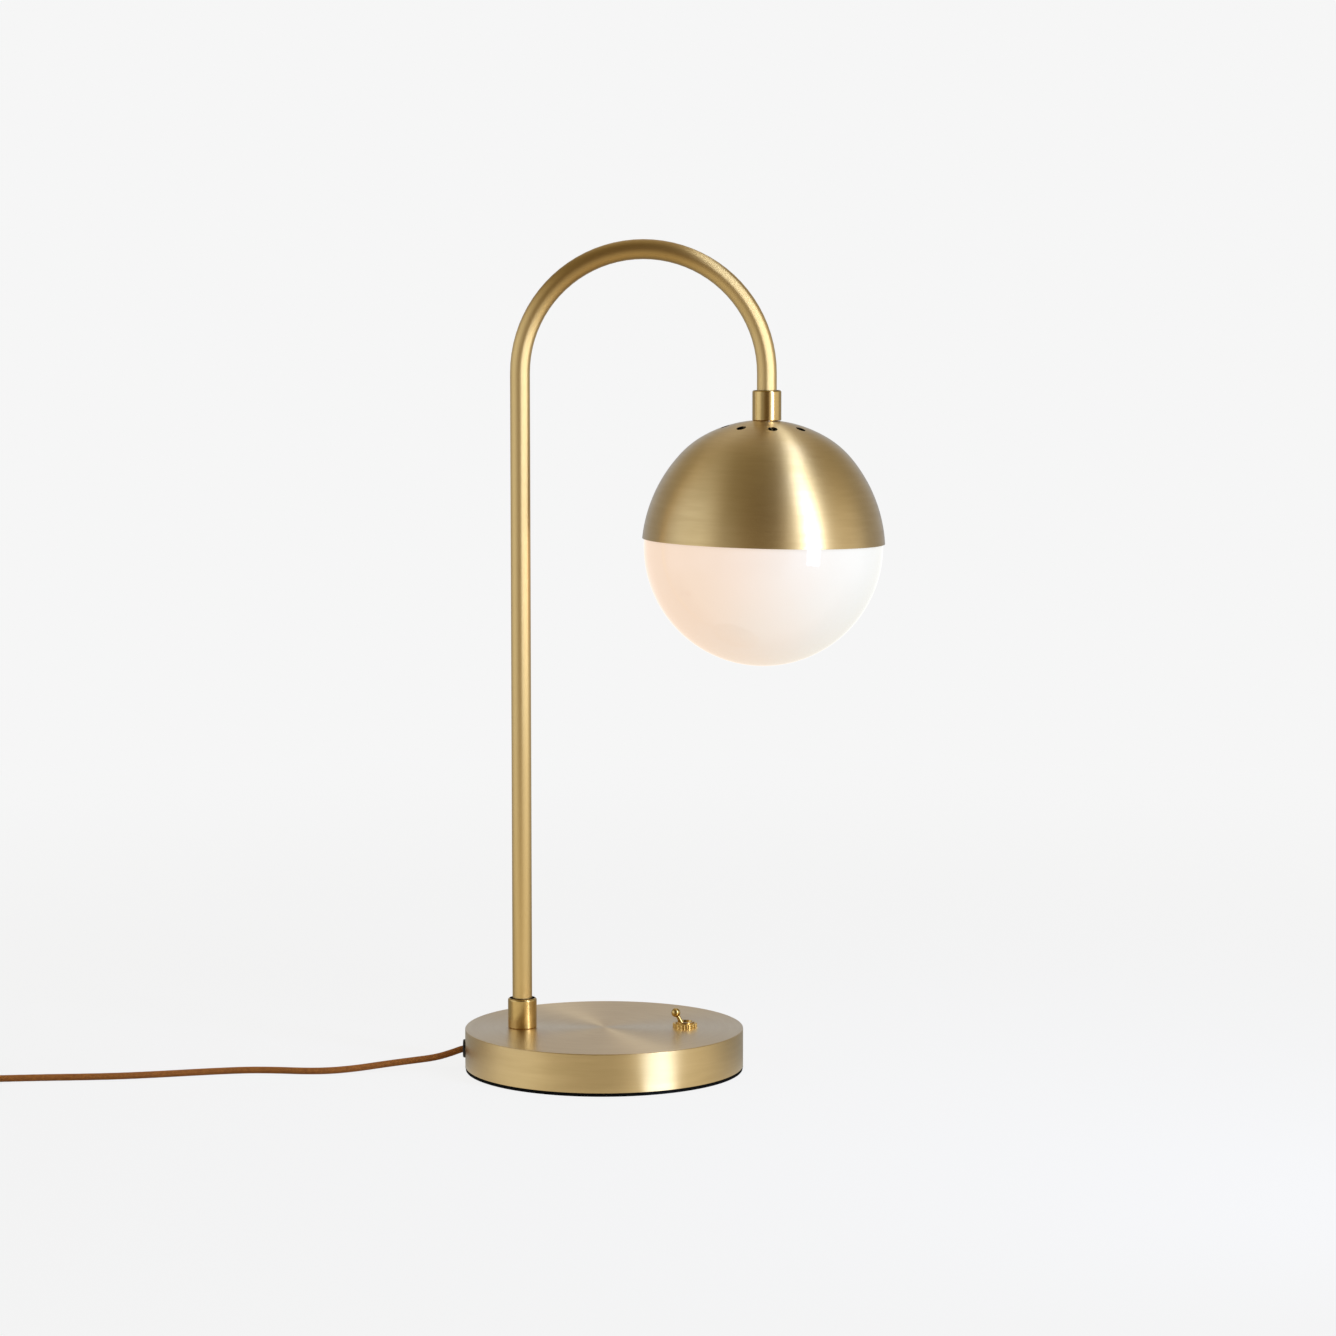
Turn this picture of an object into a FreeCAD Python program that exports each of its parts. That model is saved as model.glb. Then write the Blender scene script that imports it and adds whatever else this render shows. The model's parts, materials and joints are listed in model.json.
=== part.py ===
import FreeCAD
import Part
import math
import os
import re

import Sketcher
from FreeCAD import Vector

# Table lamp: a glass globe under a brass dome, hung from an arched tube on a weighted round base.
# Millimetres. The origin is the middle of the base's underside, +Z is up, and +X points from the
# pole towards the globe.

SIZES = {
    # Base
    "base_radius": 88.0,
    "base_height": 26.3,
    "cover_wall": 0.9,
    "cover_edge": 0.6,
    "pad_thick": 1.6,
    "pad_inset": 0.3,
    "pad_hole": 4.8,
    "plate_thick": 1.2,
    "plate_gap": 0.5,
    "weight_inset": 8.0,
    "weight_gap": 0.1,
    "cavity_depth": 14.0,
    "cavity_width": 36.0,
    "cavity_inset": 18.0,
    "screw_inset": 16.0,
    "screw_count": 3,
    "screw_turn": 90.0,
    "screw_radius": 1.95,
    "screw_depth": 10.0,
    "screw_head": 3.8,
    "screw_head_thick": 1.3,
    # Fits
    "fit_gap": 0.05,
    "free_gap": 0.3,
    # Pole and its thread
    "stem_inset": 36.2,
    "tube_radius": 6.2,
    "tube_wall": 0.8,
    "arch_radius": 76.9,
    "arch_z": 439.2,
    "nipple_radius": 4.0,
    "nipple_bore": 3.0,
    "nipple_proud": 1.5,
    "nipple_grip": 9.0,
    "insert_length": 13.0,
    "washer_radius": 10.5,
    "washer_thick": 1.5,
    "nut_flats": 13.0,
    "nut_thick": 5.0,
    # Collars at both ends of the tube
    "collar_radius": 9.1,
    "collar_height": 18.8,
    "collar_bore": 7.5,
    "collar_floor": 5.8,
    "collar_round": 1.2,
    "collar_bevel": 0.4,
    "collar_socket": 3.2,
    "socket_gap": 0.2,
    # Head
    "head_z": 409.9,
    "head_lean": 1.4,
    "crown_gap": 0.26,
    "dome_gap": 1.2,
    "dome_wall": 0.7,
    "side_flatter": 16.0,
    "side_low": 4.8,
    "side_high": 41.0,
    "shoulder_rounder": 16.6,
    "shoulder_high": 60.0,
    "crown_flat": 9.2,
    "vent_ring": 26.3,
    "vent_radius": 2.95,
    "vent_turn": 6.8,
    "vent_count": 8,
    "gallery_top": 57.2,
    "gallery_wall": 1.0,
    "gallery_depth": 12.6,
    "gallery_vent_ring": 26.0,
    "gallery_vent_radius": 3.5,
    "gallery_vent_count": 6,
    "spacer_radius": 7.0,
    "gallery_nut_thick": 4.0,
    "shade_nipple_low": 46.5,
    # Globe
    "globe_radius": 74.8,
    "globe_wall": 2.5,
    "globe_drop": 3.7,
    "shoulder_z": 43.6,
    "neck_inset": 34.8,
    "neck_wall": 2.4,
    "neck_gap": 0.4,
    "gasket_thick": 1.5,
    "gasket_gap": 0.2,
    # Lamp holder
    "holder_radius": 12.5,
    "holder_wall": 1.5,
    "holder_entry": 6.5,
    "holder_entry_high": 51.9,
    "holder_roof": 46.0,
    "holder_split": 36.0,
    "holder_mouth": 20.0,
    "core_radius": 9.6,
    "core_low": 38.6,
    "core_high": 42.8,
    "sleeve_bore": 7.1,
    "sleeve_wall": 0.4,
    "sleeve_low": 22.0,
    "contact_radius": 2.6,
    "contact_thick": 0.6,
    "terminal_offset": 6.2,
    "terminal_radius": 1.4,
    "terminal_head": 2.2,
    "terminal_head_thick": 1.4,
    # Bulb
    "bulb_radius": 22.5,
    "bulb_drop": 14.8,
    "bulb_wall": 0.8,
    "bulb_neck": 7.6,
    "bulb_neck_high": 14.0,
    "bulb_cap_radius": 6.9,
    "bulb_cap_wall": 0.4,
    "bulb_cap_low": 12.0,
    "bulb_cap_high": 34.0,
    "bulb_tip_radius": 2.4,
    "bulb_tip_gap": 0.3,
    "bulb_tip_thick": 1.1,
    "stem_radius": 2.6,
    "stem_low": -28.0,
    "stem_flare_low": 11.9,
    "stem_flare_high": 13.2,
    "filament_radius": 0.9,
    "filament_length": 26.0,
    "filament_count": 4,
    "filament_high": -1.0,
    # Switch
    "switch_inset": 36.9,
    "pivot_under": 1.3,
    "lever_lean": 28.7,
    "lever_length": 11.9,
    "lever_ball": 2.9,
    "lever_root": 1.55,
    "lever_neck": 1.25,
    "joint_ball": 3.2,
    "tail_radius": 1.5,
    "plunger_radius": 0.8,
    "plunger_proud": 3.0,
    "plunger_gap": 0.7,
    "pin_radius": 0.6,
    "pin_half": 5.2,
    "bushing_radius": 5.9,
    "bushing_proud": 3.6,
    "bushing_bore": 3.55,
    "bushing_mouth": 4.75,
    "bushing_flare": 1.0,
    "dress_radius": 7.7,
    "dress_thick": 2.7,
    "dress_round": 0.7,
    "dress_notch": 0.8,
    "dress_notch_count": 24,
    "back_nut_flats": 15.0,
    "back_nut_thick": 2.3,
    "case_length": 24.0,
    "case_width": 14.0,
    "case_wall": 1.6,
    "case_low": 8.2,
    "case_mouth": 4.4,
    "floor_thick": 2.0,
    "pocket_margin": 2.5,
    "rocker_z": 13.3,
    "rocker_arm": 7.4,
    "rocker_rise": 14.0,
    "rocker_tilt": 12.0,
    "rocker_thick": 0.8,
    "rocker_width": 4.0,
    "rocker_boss": 1.0,
    "terminal_low": 4.0,
    "blade_thick": 0.8,
    "blade_width": 4.8,
    "contact_reach": 6.6,
    "contact_top": 12.6,
    # Cord where it enters, and its clamp
    "cord_radius": 2.15,
    "cord_z": 12.5,
    "grommet_flange": 5.8,
    "grommet_flange_thick": 1.3,
    "grommet_round": 0.4,
    "grommet_neck": 4.2,
    "grommet_lip": 5.0,
    "grommet_lip_thick": 1.2,
    "clamp_inset": 15.5,
    "clamp_width": 26.0,
    "clamp_depth": 7.0,
    "clamp_under": 3.4,
    "clamp_screw_spread": 8.5,
    "clamp_screw_radius": 1.45,
    "clamp_screw_head": 2.7,
    "clamp_screw_head_thick": 1.8,
    "clamp_screw_grip": 6.0,
    "sheath_inset": 22.0,
    "lead_radius": 0.95,
    "lead_offset": 1.05,
    "lead_z": 5.2,
    "lead_grid": 1.0,
    "connector_radius": 3.1,
    "connector_length": 15.0,
    "connector_gap": 23.8,
    "connector_y": 9.0,
    "connector_z": 6.4,
    # Cord on the table, its coil and its plug
    "coil_x": -420.0,
    "coil_y": -17.0,
    "coil_inner": 17.0,
    "coil_outer": 34.6,
    "coil_low": 0.7,
    "coil_high": 9.5,
    "coil_round": 1.8,
    "tie_thick": 0.6,
    "tie_gap": 0.45,
    "tie_width": 7.0,
    "plug_x": -447.0,
    "plug_y": 79.0,
    "plug_length": 35.0,
    "plug_width": 35.3,
    "plug_back": 15.0,
    "plug_straight": 14.0,
    "plug_thick": 13.7,
    "plug_edge": 2.6,
    "relief_length": 20.0,
    "relief_root": 4.6,
    "relief_tip": 3.2,
    "prong_spread": 9.25,
    "prong_radius": 2.0,
    "prong_length": 19.0,
    "prong_grip": 6.0,
    "prong_round": 1.0,
    "prong_core": 1.4,
    "prong_sleeve": 1.8,
    "prong_sleeve_length": 10.0,
}

WORKED = {
    "plate_top": "pad_thick + plate_thick",
    "weight_radius": "base_radius - weight_inset",
    "cavity_reach": "base_radius - cavity_inset",
    "screw_ring": "base_radius - screw_inset",
    "plate_radius": "base_radius - cover_wall - plate_gap",
    "cover_under": "base_height - cover_wall",
    "weight_top": "cover_under - weight_gap",
    "cavity_top": "plate_top + cavity_depth",
    "nut_top": "cavity_top - washer_thick",
    "nut_low": "nut_top - nut_thick",
    "nipple_low": "nut_low - nipple_proud",
    "tube_foot": "base_height + collar_floor",
    "tube_bore": "tube_radius - tube_wall",
    "tube_tip": "head_z + collar_floor",
    "stem_x": "base_radius - stem_inset",
    "head_x": "2 * arch_radius - stem_x",
    "dome_radius": "globe_radius + dome_gap",
    "side_arc": "dome_radius + side_flatter",
    "shoulder_arc": "dome_radius - shoulder_rounder",
    "side_x": "dome_radius - side_arc * cos(side_low)",
    "side_z": "-side_arc * sin(side_low)",
    "shoulder_x": "side_x + (side_arc - shoulder_arc) * cos(side_high)",
    "shoulder_low": "side_z + (side_arc - shoulder_arc) * sin(side_high)",
    "cap_arc": "shoulder_x / cos(shoulder_high) + shoulder_arc",
    "cap_z": "shoulder_low + (shoulder_arc - cap_arc) * sin(shoulder_high)",
    "crown": "cap_z + sqrt(cap_arc * cap_arc - crown_flat * crown_flat)",
    "crown_under": "crown - dome_wall",
    "crown_z": "head_z - crown_gap",
    "rim_x": "head_x - crown * sin(head_lean)",
    "rim_z": "crown_z - crown * cos(head_lean)",
    "hole_radius": "nipple_radius + fit_gap",
    "gallery_under": "gallery_top - gallery_wall",
    "neck_radius": "globe_radius - neck_inset",
    "gallery_bore": "neck_radius + neck_gap",
    "gallery_low": "gallery_top - gallery_depth",
    "neck_top": "gallery_under - gasket_thick - gasket_gap",
    "neck_bore": "neck_radius - neck_wall",
    "shoulder_radius": "sqrt(globe_radius * globe_radius - (shoulder_z + globe_drop) ^ 2)",
    "globe_bore": "globe_radius - globe_wall",
    "shoulder_inner": "sqrt(globe_bore * globe_bore - (shoulder_z - globe_wall + globe_drop) ^ 2)",
    "sleeve_radius": "sleeve_bore + sleeve_wall",
    "contact_low": "core_low - contact_thick",
    "tip_high": "contact_low - bulb_tip_gap",
    "tip_low": "tip_high - bulb_tip_thick",
    "bulb_seat": "bulb_cap_radius - bulb_cap_wall - fit_gap",
    "stem_flare": "bulb_seat - bulb_wall - fit_gap",
    "filament_ring": "stem_radius + filament_radius + free_gap",
    "switch_x": "base_radius - switch_inset",
    "pivot_z": "base_height - pivot_under",
    "plunger_length": "pivot_z - rocker_z - plunger_gap",
    "tail_length": "plunger_length - plunger_proud",
    "bushing_low": "cover_under - back_nut_thick - free_gap",
    "bushing_high": "base_height + bushing_proud",
    "floor_low": "case_low - floor_thick",
    "grommet_x": "base_radius + free_gap / 3",
    "cord_x": "grommet_x + grommet_flange_thick",
    "wall_in": "base_radius - cover_wall",
    "clamp_x": "base_radius - clamp_inset",
    "sheath_end": "base_radius - sheath_inset",
    "clamp_low": "cord_z - cord_radius - clamp_under",
    "connector_x": "stem_x - connector_gap",
    "plug_z": "plug_thick / 2",
}

# Frames that pieces are built in: the leaning head, and the lever where it rests.
HEAD = "placement(vector(rim_x; 0; rim_z); rotation(vector(0; 1; 0); head_lean))"
LEVER = "placement(vector(switch_x; 0; pivot_z); rotation(vector(0; 1; 0); -lever_lean))"

# Middle line of the cord, from the grommet to the coil and from the coil to the plug.
CORD_RUN = [
    (-89.4, 0.0, 12.5),
    (-97.0, -0.2, 10.8),
    (-107.5, -1.0, 8.2),
    (-121.5, -3.4, 6.1),
    (-138.5, -7.8, 4.2),
    (-156.0, -14.2, 2.6),
    (-172.5, -19.9, 2.2),
    (-188.0, -20.7, 2.2),
    (-205.0, -17.8, 2.2),
    (-223.0, -16.9, 2.2),
    (-241.0, -20.3, 2.2),
    (-259.0, -24.9, 2.2),
    (-279.0, -30.4, 2.2),
    (-301.0, -35.6, 2.2),
    (-325.0, -38.4, 2.2),
    (-349.0, -40.1, 2.2),
    (-372.0, -43.6, 2.4),
    (-392.0, -47.6, 2.7),
    (-410.0, -49.2, 2.9),
]
CORD_TAIL = [
    (-452.2, -4.0, 7.0),
    (-451.8, 2.0, 6.95),
    (-450.6, 8.0, 6.9),
    (-449.0, 13.0, 6.85),
    (-447.6, 18.0, 6.85),
    (-447.0, 24.0, 6.85),
]

DOC = FreeCAD.newDocument("GlobeLamp")
PARTS = []


def fill_sheet(name, cells):
    """A sheet with one named value on each row."""
    sheet = DOC.addObject("Spreadsheet::Sheet", name)
    for row, (word, content) in enumerate(cells, start=1):
        sheet.set(f"A{row}", word)
        sheet.set(f"B{row}", content)
        sheet.setAlias(f"B{row}", word)
    DOC.recompute()
    return sheet


def full(text):
    """An expression with each named value written together with its sheet."""

    def with_sheet(found):
        word = found.group(0)
        if word in SIZES:
            return "Sizes." + word
        if word in WORKED:
            return "Worked." + word
        return word

    return re.sub(r"[a-z_]+", with_sheet, str(text))


def worth(text):
    """The number that an expression of named values comes to."""
    return float(SHEET.evalExpression(full(text)))


def tie(thing, field, text):
    """Bind a field of an object to named values."""
    thing.setExpression(field, full(text))


def place(thing, frame="", at=(0, 0, 0), about=(0, 0, 1), turn=0):
    """Place an object at a point of a frame, turned about an axis there."""
    spot = "vector({}; {}; {})".format(*at)
    axis = "vector({}; {}; {})".format(*about)
    own = f"placement({spot}; rotation({axis}; {turn}))"
    tie(thing, "Placement", f"{frame} * {own}" if frame else own)


def keep(thing, label):
    """Give a finished sub-part its name and list it for export."""
    thing.Label = label
    PARTS.append(thing)
    return thing


def plane_of(body, role):
    """One of a body's own origin planes."""
    return [item for item in body.Origin.OriginFeatures if item.Role == role][0]


def sketch_on(body, name, role):
    """An empty sketch on one of the body's origin planes."""
    sketch = body.newObject("Sketcher::SketchObject", name)
    sketch.AttachmentSupport = [(plane_of(body, role), "")]
    sketch.MapMode = "FlatFace"
    return sketch


def pin_point(sketch, geometry, end, across, along):
    """Fix a sketch point by its two coordinates."""
    if str(across) == "0":
        sketch.addConstraint(Sketcher.Constraint("PointOnObject", geometry, end, -2))
    else:
        number = sketch.addConstraint(
            Sketcher.Constraint("DistanceX", -1, 1, geometry, end, worth(across)))
        tie(sketch, f"Constraints[{number}]", across)
    if str(along) == "0":
        sketch.addConstraint(Sketcher.Constraint("PointOnObject", geometry, end, -1))
    else:
        number = sketch.addConstraint(
            Sketcher.Constraint("DistanceY", -1, 1, geometry, end, worth(along)))
        tie(sketch, f"Constraints[{number}]", along)


def draw(sketch, corners, closed=True):
    """Draw a chain of lines and arcs through corners.

    A corner is (across, along), or (across, along, radius, side) where an arc leads to the next
    corner. Side 1 has the arc's centre to the left of the way there, and -1 to the right.
    """
    spots = [Vector(worth(corner[0]), worth(corner[1]), 0) for corner in corners]
    count = len(corners) if closed else len(corners) - 1
    ends = []
    for index in range(count):
        first, second = spots[index], spots[(index + 1) % len(spots)]
        corner = corners[index]
        if len(corner) == 2:
            sketch.addGeometry(Part.LineSegment(first, second), False)
            ends.append((1, 2))
            continue
        radius, side = worth(corner[2]), corner[3]
        chord = second - first
        rise = math.sqrt(max(radius ** 2 - (chord.Length / 2) ** 2, 0.0))
        left = Vector(-chord.y, chord.x, 0).normalize()
        centre = first + chord * 0.5 + left * rise * side
        start, stop = (first, second) if side > 0 else (second, first)
        angles = [math.atan2(spot.y - centre.y, spot.x - centre.x) for spot in (start, stop)]
        if angles[1] < angles[0]:
            angles[1] += 2 * math.pi
        circle = Part.Circle(centre, Vector(0, 0, 1), radius)
        sketch.addGeometry(Part.ArcOfCircle(circle, angles[0], angles[1]), False)
        ends.append((1, 2) if side > 0 else (2, 1))
    for index in range(count if closed else count - 1):
        following = (index + 1) % count
        sketch.addConstraint(
            Sketcher.Constraint("Coincident", index, ends[index][1], following, ends[following][0]))
    for index in range(count):
        pin_point(sketch, index, ends[index][0], *corners[index][:2])
    if not closed:
        pin_point(sketch, count - 1, ends[count - 1][1], *corners[-1][:2])
    for index in range(count):
        if len(corners[index]) == 4:
            number = sketch.addConstraint(
                Sketcher.Constraint("Radius", index, worth(corners[index][2])))
            tie(sketch, f"Constraints[{number}]", corners[index][2])


def ring(sketch, radius, across=0, along=0):
    """Draw a circle with a fixed centre and radius."""
    spot = Vector(worth(across), worth(along), 0)
    number = sketch.addGeometry(Part.Circle(spot, Vector(0, 0, 1), worth(radius)), False)
    pin_point(sketch, number, 3, across, along)
    size = sketch.addConstraint(Sketcher.Constraint("Radius", number, worth(radius)))
    tie(sketch, f"Constraints[{size}]", radius)


def turned(name, corners, frame="", **seat):
    """A turned solid: a closed outline of (radius, height) corners, turned about its axis."""
    body = DOC.addObject("PartDesign::Body", name)
    outline = sketch_on(body, name + "_outline", "XZ_Plane")
    draw(outline, corners)
    whole = body.newObject("PartDesign::Revolution", name + "_turned")
    whole.Profile = outline
    whole.ReferenceAxis = (outline, ["V_Axis"])
    whole.Angle = 360
    place(body, frame, **seat)
    DOC.recompute()
    return body


def spun(label, corners, frame="", **seat):
    """A turned sub-part."""
    return keep(turned(label, corners, frame, **seat), label)


def tube_outline(outer, inner, low, high):
    """The outline of a plain turned tube."""
    return [(inner, low), (outer, low), (outer, high), (inner, high)]


def drill(body, name, spots, radius, depth=None, role="XY_Plane", upward=True):
    """Cut round holes into a body from one of its origin planes, and check that they cut."""
    before = body.Shape.Volume
    outline = sketch_on(body, name + "_outline", role)
    for across, along in spots:
        ring(outline, radius, across, along)
    cut = body.newObject("PartDesign::Pocket", name)
    cut.Profile = outline
    cut.Reversed = upward
    if depth is None:
        cut.Type = "ThroughAll"
    else:
        cut.Type = "Length"
        tie(cut, "Length", depth)
    DOC.recompute()
    if body.Shape.Volume >= before:
        raise ValueError(f"{name} cuts nothing")
    return cut


def around(body, name, feature, count):
    """Repeat a cut evenly around a body's axis."""
    pattern = body.newObject("PartDesign::PolarPattern", name)
    pattern.Originals = [feature]
    pattern.Axis = (feature.Profile[0], ["N_Axis"])
    pattern.Angle = 360
    tie(pattern, "Occurrences", count)
    body.Tip = pattern
    DOC.recompute()
    return pattern


def cylinder(name, radius, height, frame="", **seat):
    """A round bar."""
    bar = DOC.addObject("Part::Cylinder", name)
    tie(bar, "Radius", radius)
    tie(bar, "Height", height)
    place(bar, frame, **seat)
    return bar


def block(name, length, width, height, frame="", at=(0, 0, 0)):
    """A box centred on its place in X and Y, standing on its height there."""
    box = DOC.addObject("Part::Box", name)
    tie(box, "Length", length)
    tie(box, "Width", width)
    tie(box, "Height", height)
    corner = (f"{at[0]} - ({length}) / 2", f"{at[1]} - ({width}) / 2", at[2])
    place(box, frame, corner)
    return box


def prism(name, flats, height, frame="", **seat):
    """A hexagonal bar of a given width across its flats."""
    bar = DOC.addObject("Part::Prism", name)
    bar.Polygon = 6
    tie(bar, "Circumradius", f"({flats}) / (2 * cos(30))")
    tie(bar, "Height", height)
    place(bar, frame, **seat)
    return bar


def joined(name, pieces):
    """Several solids made one."""
    whole = DOC.addObject("Part::MultiFuse", name)
    whole.Shapes = pieces
    return whole


def cut_from(name, base, tools):
    """A solid with others cut out of it."""
    whole = DOC.addObject("Part::Cut", name)
    whole.Base = base
    whole.Tool = tools[0] if len(tools) == 1 else joined(name + "_tools", tools)
    return whole


def group(name, pieces):
    """Like solids that share one node."""
    whole = DOC.addObject("Part::Compound", name)
    whole.Links = pieces
    return whole


def hex_nut(label, flats, bore, thick, frame="", **seat):
    """A hexagonal nut with a plain bore for its thread."""
    outside = prism(label + "_flats", flats, thick, frame, **seat)
    inside = cylinder(label + "_bore", bore, thick, frame, **seat)
    return keep(cut_from(label, outside, [inside]), label)


def arc_wire(points):
    """A wire of straight runs joined by tangent arcs, and the radii of the arcs."""
    spots = [Vector(*point) for point in points]
    edges, radii = [], []
    last = spots[0]
    for before, corner, after in zip(spots, spots[1:], spots[2:]):
        back, ahead = before - corner, after - corner
        turn = math.pi - back.getAngle(ahead)
        reach = 0.45 * min(back.Length, ahead.Length)
        radius = reach / math.tan(turn / 2)
        back.normalize()
        ahead.normalize()
        start, stop = corner + back * reach, corner + ahead * reach
        inward = (back + ahead).normalize()
        middle = corner + inward * (math.hypot(radius, reach) - radius)
        edges.append(Part.LineSegment(last, start).toShape())
        edges.append(Part.Arc(start, middle, stop).toShape())
        radii.append(radius)
        last = stop
    edges.append(Part.LineSegment(last, spots[-1]).toShape())
    return Part.Wire(edges), radii


def tube_along(wire, radius):
    """A round solid along a wire."""
    start = wire.OrderedVertexes[0].Point
    heading = wire.OrderedEdges[0].tangentAt(wire.OrderedEdges[0].FirstParameter)
    profile = Part.Wire([Part.makeCircle(radius, start, heading)])
    return wire.makePipeShell([profile], True, False)


def cable(label, points, radius):
    """A cord or lead along a route, checked against its section times its length."""
    wire, radii = arc_wire(points)
    size = worth(radius)
    solid = tube_along(wire, size)
    share = solid.Volume / (math.pi * size ** 2 * wire.Length)
    least = min(radii) if radii else 0.0
    print(f"{label}: length {wire.Length:.1f}, least radius {least:.1f}, volume share {share:.4f}")
    print("  radii", " ".join(f"{value:.0f}" for value in radii))
    piece = DOC.addObject("Part::Feature", label)
    piece.Shape = solid
    piece.Placement = FreeCAD.Placement()
    return keep(piece, label)


def base_shell():
    """Cover, weight, bottom plate, pad and the screws that hold the plate."""
    cover = spun("base_cover", [
        ("base_radius", "pad_thick"),
        ("base_radius", "base_height - cover_edge", "cover_edge", 1),
        ("base_radius - cover_edge", "base_height"),
        (0, "base_height"),
        (0, "cover_under"),
        ("wall_in", "cover_under"),
        ("wall_in", "pad_thick"),
    ])
    drill(cover, "cover_stem_hole", [("-stem_x", 0)], "nipple_radius + free_gap")
    drill(cover, "cover_switch_hole", [("switch_x", 0)], "bushing_radius + fit_gap")
    drill(cover, "cover_cord_hole", [(0, "cord_z")], "grommet_neck + fit_gap",
          "base_radius + cover_wall", "YZ_Plane", False)

    plate = spun("bottom_plate", [
        (0, "pad_thick"), ("plate_radius", "pad_thick"),
        ("plate_radius", "plate_top"), (0, "plate_top"),
    ])
    hole = drill(plate, "plate_hole", [screw_spot()], "screw_radius + fit_gap")
    around(plate, "plate_holes", hole, "screw_count")

    pad = spun("base_pad", [
        (0, 0), ("base_radius - pad_inset", 0),
        ("base_radius - pad_inset", "pad_thick"), (0, "pad_thick"),
    ])
    hole = drill(pad, "pad_hole_cut", [screw_spot()], "pad_hole")
    around(pad, "pad_holes", hole, "screw_count")

    weight = spun("base_weight", [
        (0, "plate_top"), ("weight_radius", "plate_top"),
        ("weight_radius", "weight_top - cover_edge"),
        ("weight_radius - cover_edge", "weight_top"), (0, "weight_top"),
    ])
    trough = sketch_on(weight, "weight_trough_outline", "XY_Plane")
    draw(trough, [
        ("-base_radius", "-cavity_width / 2"), ("cavity_reach", "-cavity_width / 2"),
        ("cavity_reach", "cavity_width / 2"), ("-base_radius", "cavity_width / 2"),
    ])
    pocket(weight, "weight_trough", trough, "cavity_top")
    well = sketch_on(weight, "weight_well_outline", "XY_Plane")
    half_length = "(case_length / 2 + pocket_margin)"
    half_width = "(case_width / 2 + pocket_margin)"
    draw(well, [
        (f"switch_x - {half_length}", f"-{half_width}"),
        (f"switch_x + {half_length}", f"-{half_width}"),
        (f"switch_x + {half_length}", half_width),
        (f"switch_x - {half_length}", half_width),
    ])
    pocket(weight, "weight_well", well, "base_height")
    drill(weight, "weight_stem_hole", [("-stem_x", 0)], "nipple_radius + free_gap")
    drill(weight, "weight_clamp_holes", [("-clamp_x", "-clamp_screw_spread"),
                                         ("-clamp_x", "clamp_screw_spread")],
          "clamp_screw_radius + fit_gap", "cavity_top + clamp_screw_grip + free_gap")
    hole = drill(weight, "weight_screw_hole", [screw_spot()], "screw_radius + fit_gap",
                 "plate_top + screw_depth + free_gap")
    around(weight, "weight_screw_holes", hole, "screw_count")

    screws = []
    for index in range(int(worth("screw_count"))):
        turn = f"(screw_turn + {index} * 360 / screw_count)"
        spot = (f"screw_ring * cos({turn})", f"screw_ring * sin({turn})")
        head = cylinder(f"plate_screw_head_{index}", "screw_head", "screw_head_thick",
                        at=(*spot, "pad_thick - screw_head_thick"))
        shank = cylinder(f"plate_screw_shank_{index}", "screw_radius",
                         "plate_thick + screw_depth", at=(*spot, "pad_thick"))
        screws.append(joined(f"plate_screw_{index}", [head, shank]))
    keep(group("plate_screws", screws), "plate_screws")


def screw_spot():
    """Where the first of the bottom plate's screws stands."""
    return ("screw_ring * cos(screw_turn)", "screw_ring * sin(screw_turn)")


def pocket(body, name, outline, depth):
    """Cut an outline up into a body from its XY plane, and check that it cuts."""
    before = body.Shape.Volume
    cut = body.newObject("PartDesign::Pocket", name)
    cut.Profile = outline
    cut.Reversed = True
    cut.Type = "Length"
    tie(cut, "Length", depth)
    DOC.recompute()
    if body.Shape.Volume >= before:
        raise ValueError(f"{name} cuts nothing")
    return cut


def collar(label, frame="", **seat):
    """A thick-walled brass cup that the tube's end stands in, with a dark gap round the tube."""
    return spun(label, [
        ("nipple_radius + socket_gap", 0),
        ("collar_radius - collar_bevel", 0),
        ("collar_radius", "collar_bevel"),
        ("collar_radius", "collar_height - collar_round", "collar_round", 1),
        ("collar_radius - collar_round", "collar_height"),
        ("collar_bore", "collar_height"),
        ("collar_bore", "collar_floor"),
        ("hole_radius", "collar_floor"),
        ("hole_radius", "collar_socket"),
        ("nipple_radius + socket_gap", "collar_socket"),
    ], frame, **seat)


def pole():
    """The bent tube, its two threaded inserts, the foot's collar, nipple, washer and nut."""
    tube = DOC.addObject("PartDesign::Body", "pole_tube")
    section = sketch_on(tube, "pole_section", "XY_Plane")
    ring(section, "tube_radius")
    ring(section, "tube_bore")
    path = sketch_on(tube, "pole_path", "XZ_Plane")
    rise = "(arch_z - tube_foot)"
    draw(path, [
        (0, 0),
        (0, rise, "arch_radius", -1),
        ("arch_radius", f"{rise} + arch_radius", "arch_radius", -1),
        ("2 * arch_radius", rise),
        ("2 * arch_radius", "tube_tip - tube_foot"),
    ], closed=False)
    bend = tube.newObject("PartDesign::AdditivePipe", "pole_bend")
    bend.Profile = section
    bend.Spine = (path, [f"Edge{index + 1}" for index in range(4)])
    place(tube, at=("-stem_x", 0, "tube_foot"))
    DOC.recompute()
    keep(tube, "pole_tube")

    insert = tube_outline("tube_bore - fit_gap", "hole_radius", 0, "insert_length")
    spun("foot_insert", insert, at=("-stem_x", 0, "tube_foot + fit_gap"))
    spun("head_insert", insert, at=("head_x", 0, "tube_tip + fit_gap"))
    collar("foot_collar", at=("-stem_x", 0, "base_height"))
    nipple = tube_outline("nipple_radius", "nipple_bore", "nipple_low", "tube_foot + nipple_grip")
    spun("foot_nipple", nipple, at=("-stem_x", 0, 0))
    washer = tube_outline("washer_radius", "nipple_radius + free_gap", "nut_top", "cavity_top")
    spun("foot_washer", washer, at=("-stem_x", 0, 0))
    hex_nut("foot_nut", "nut_flats", "hole_radius", "nut_thick", at=("-stem_x", 0, "nut_low"))


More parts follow.
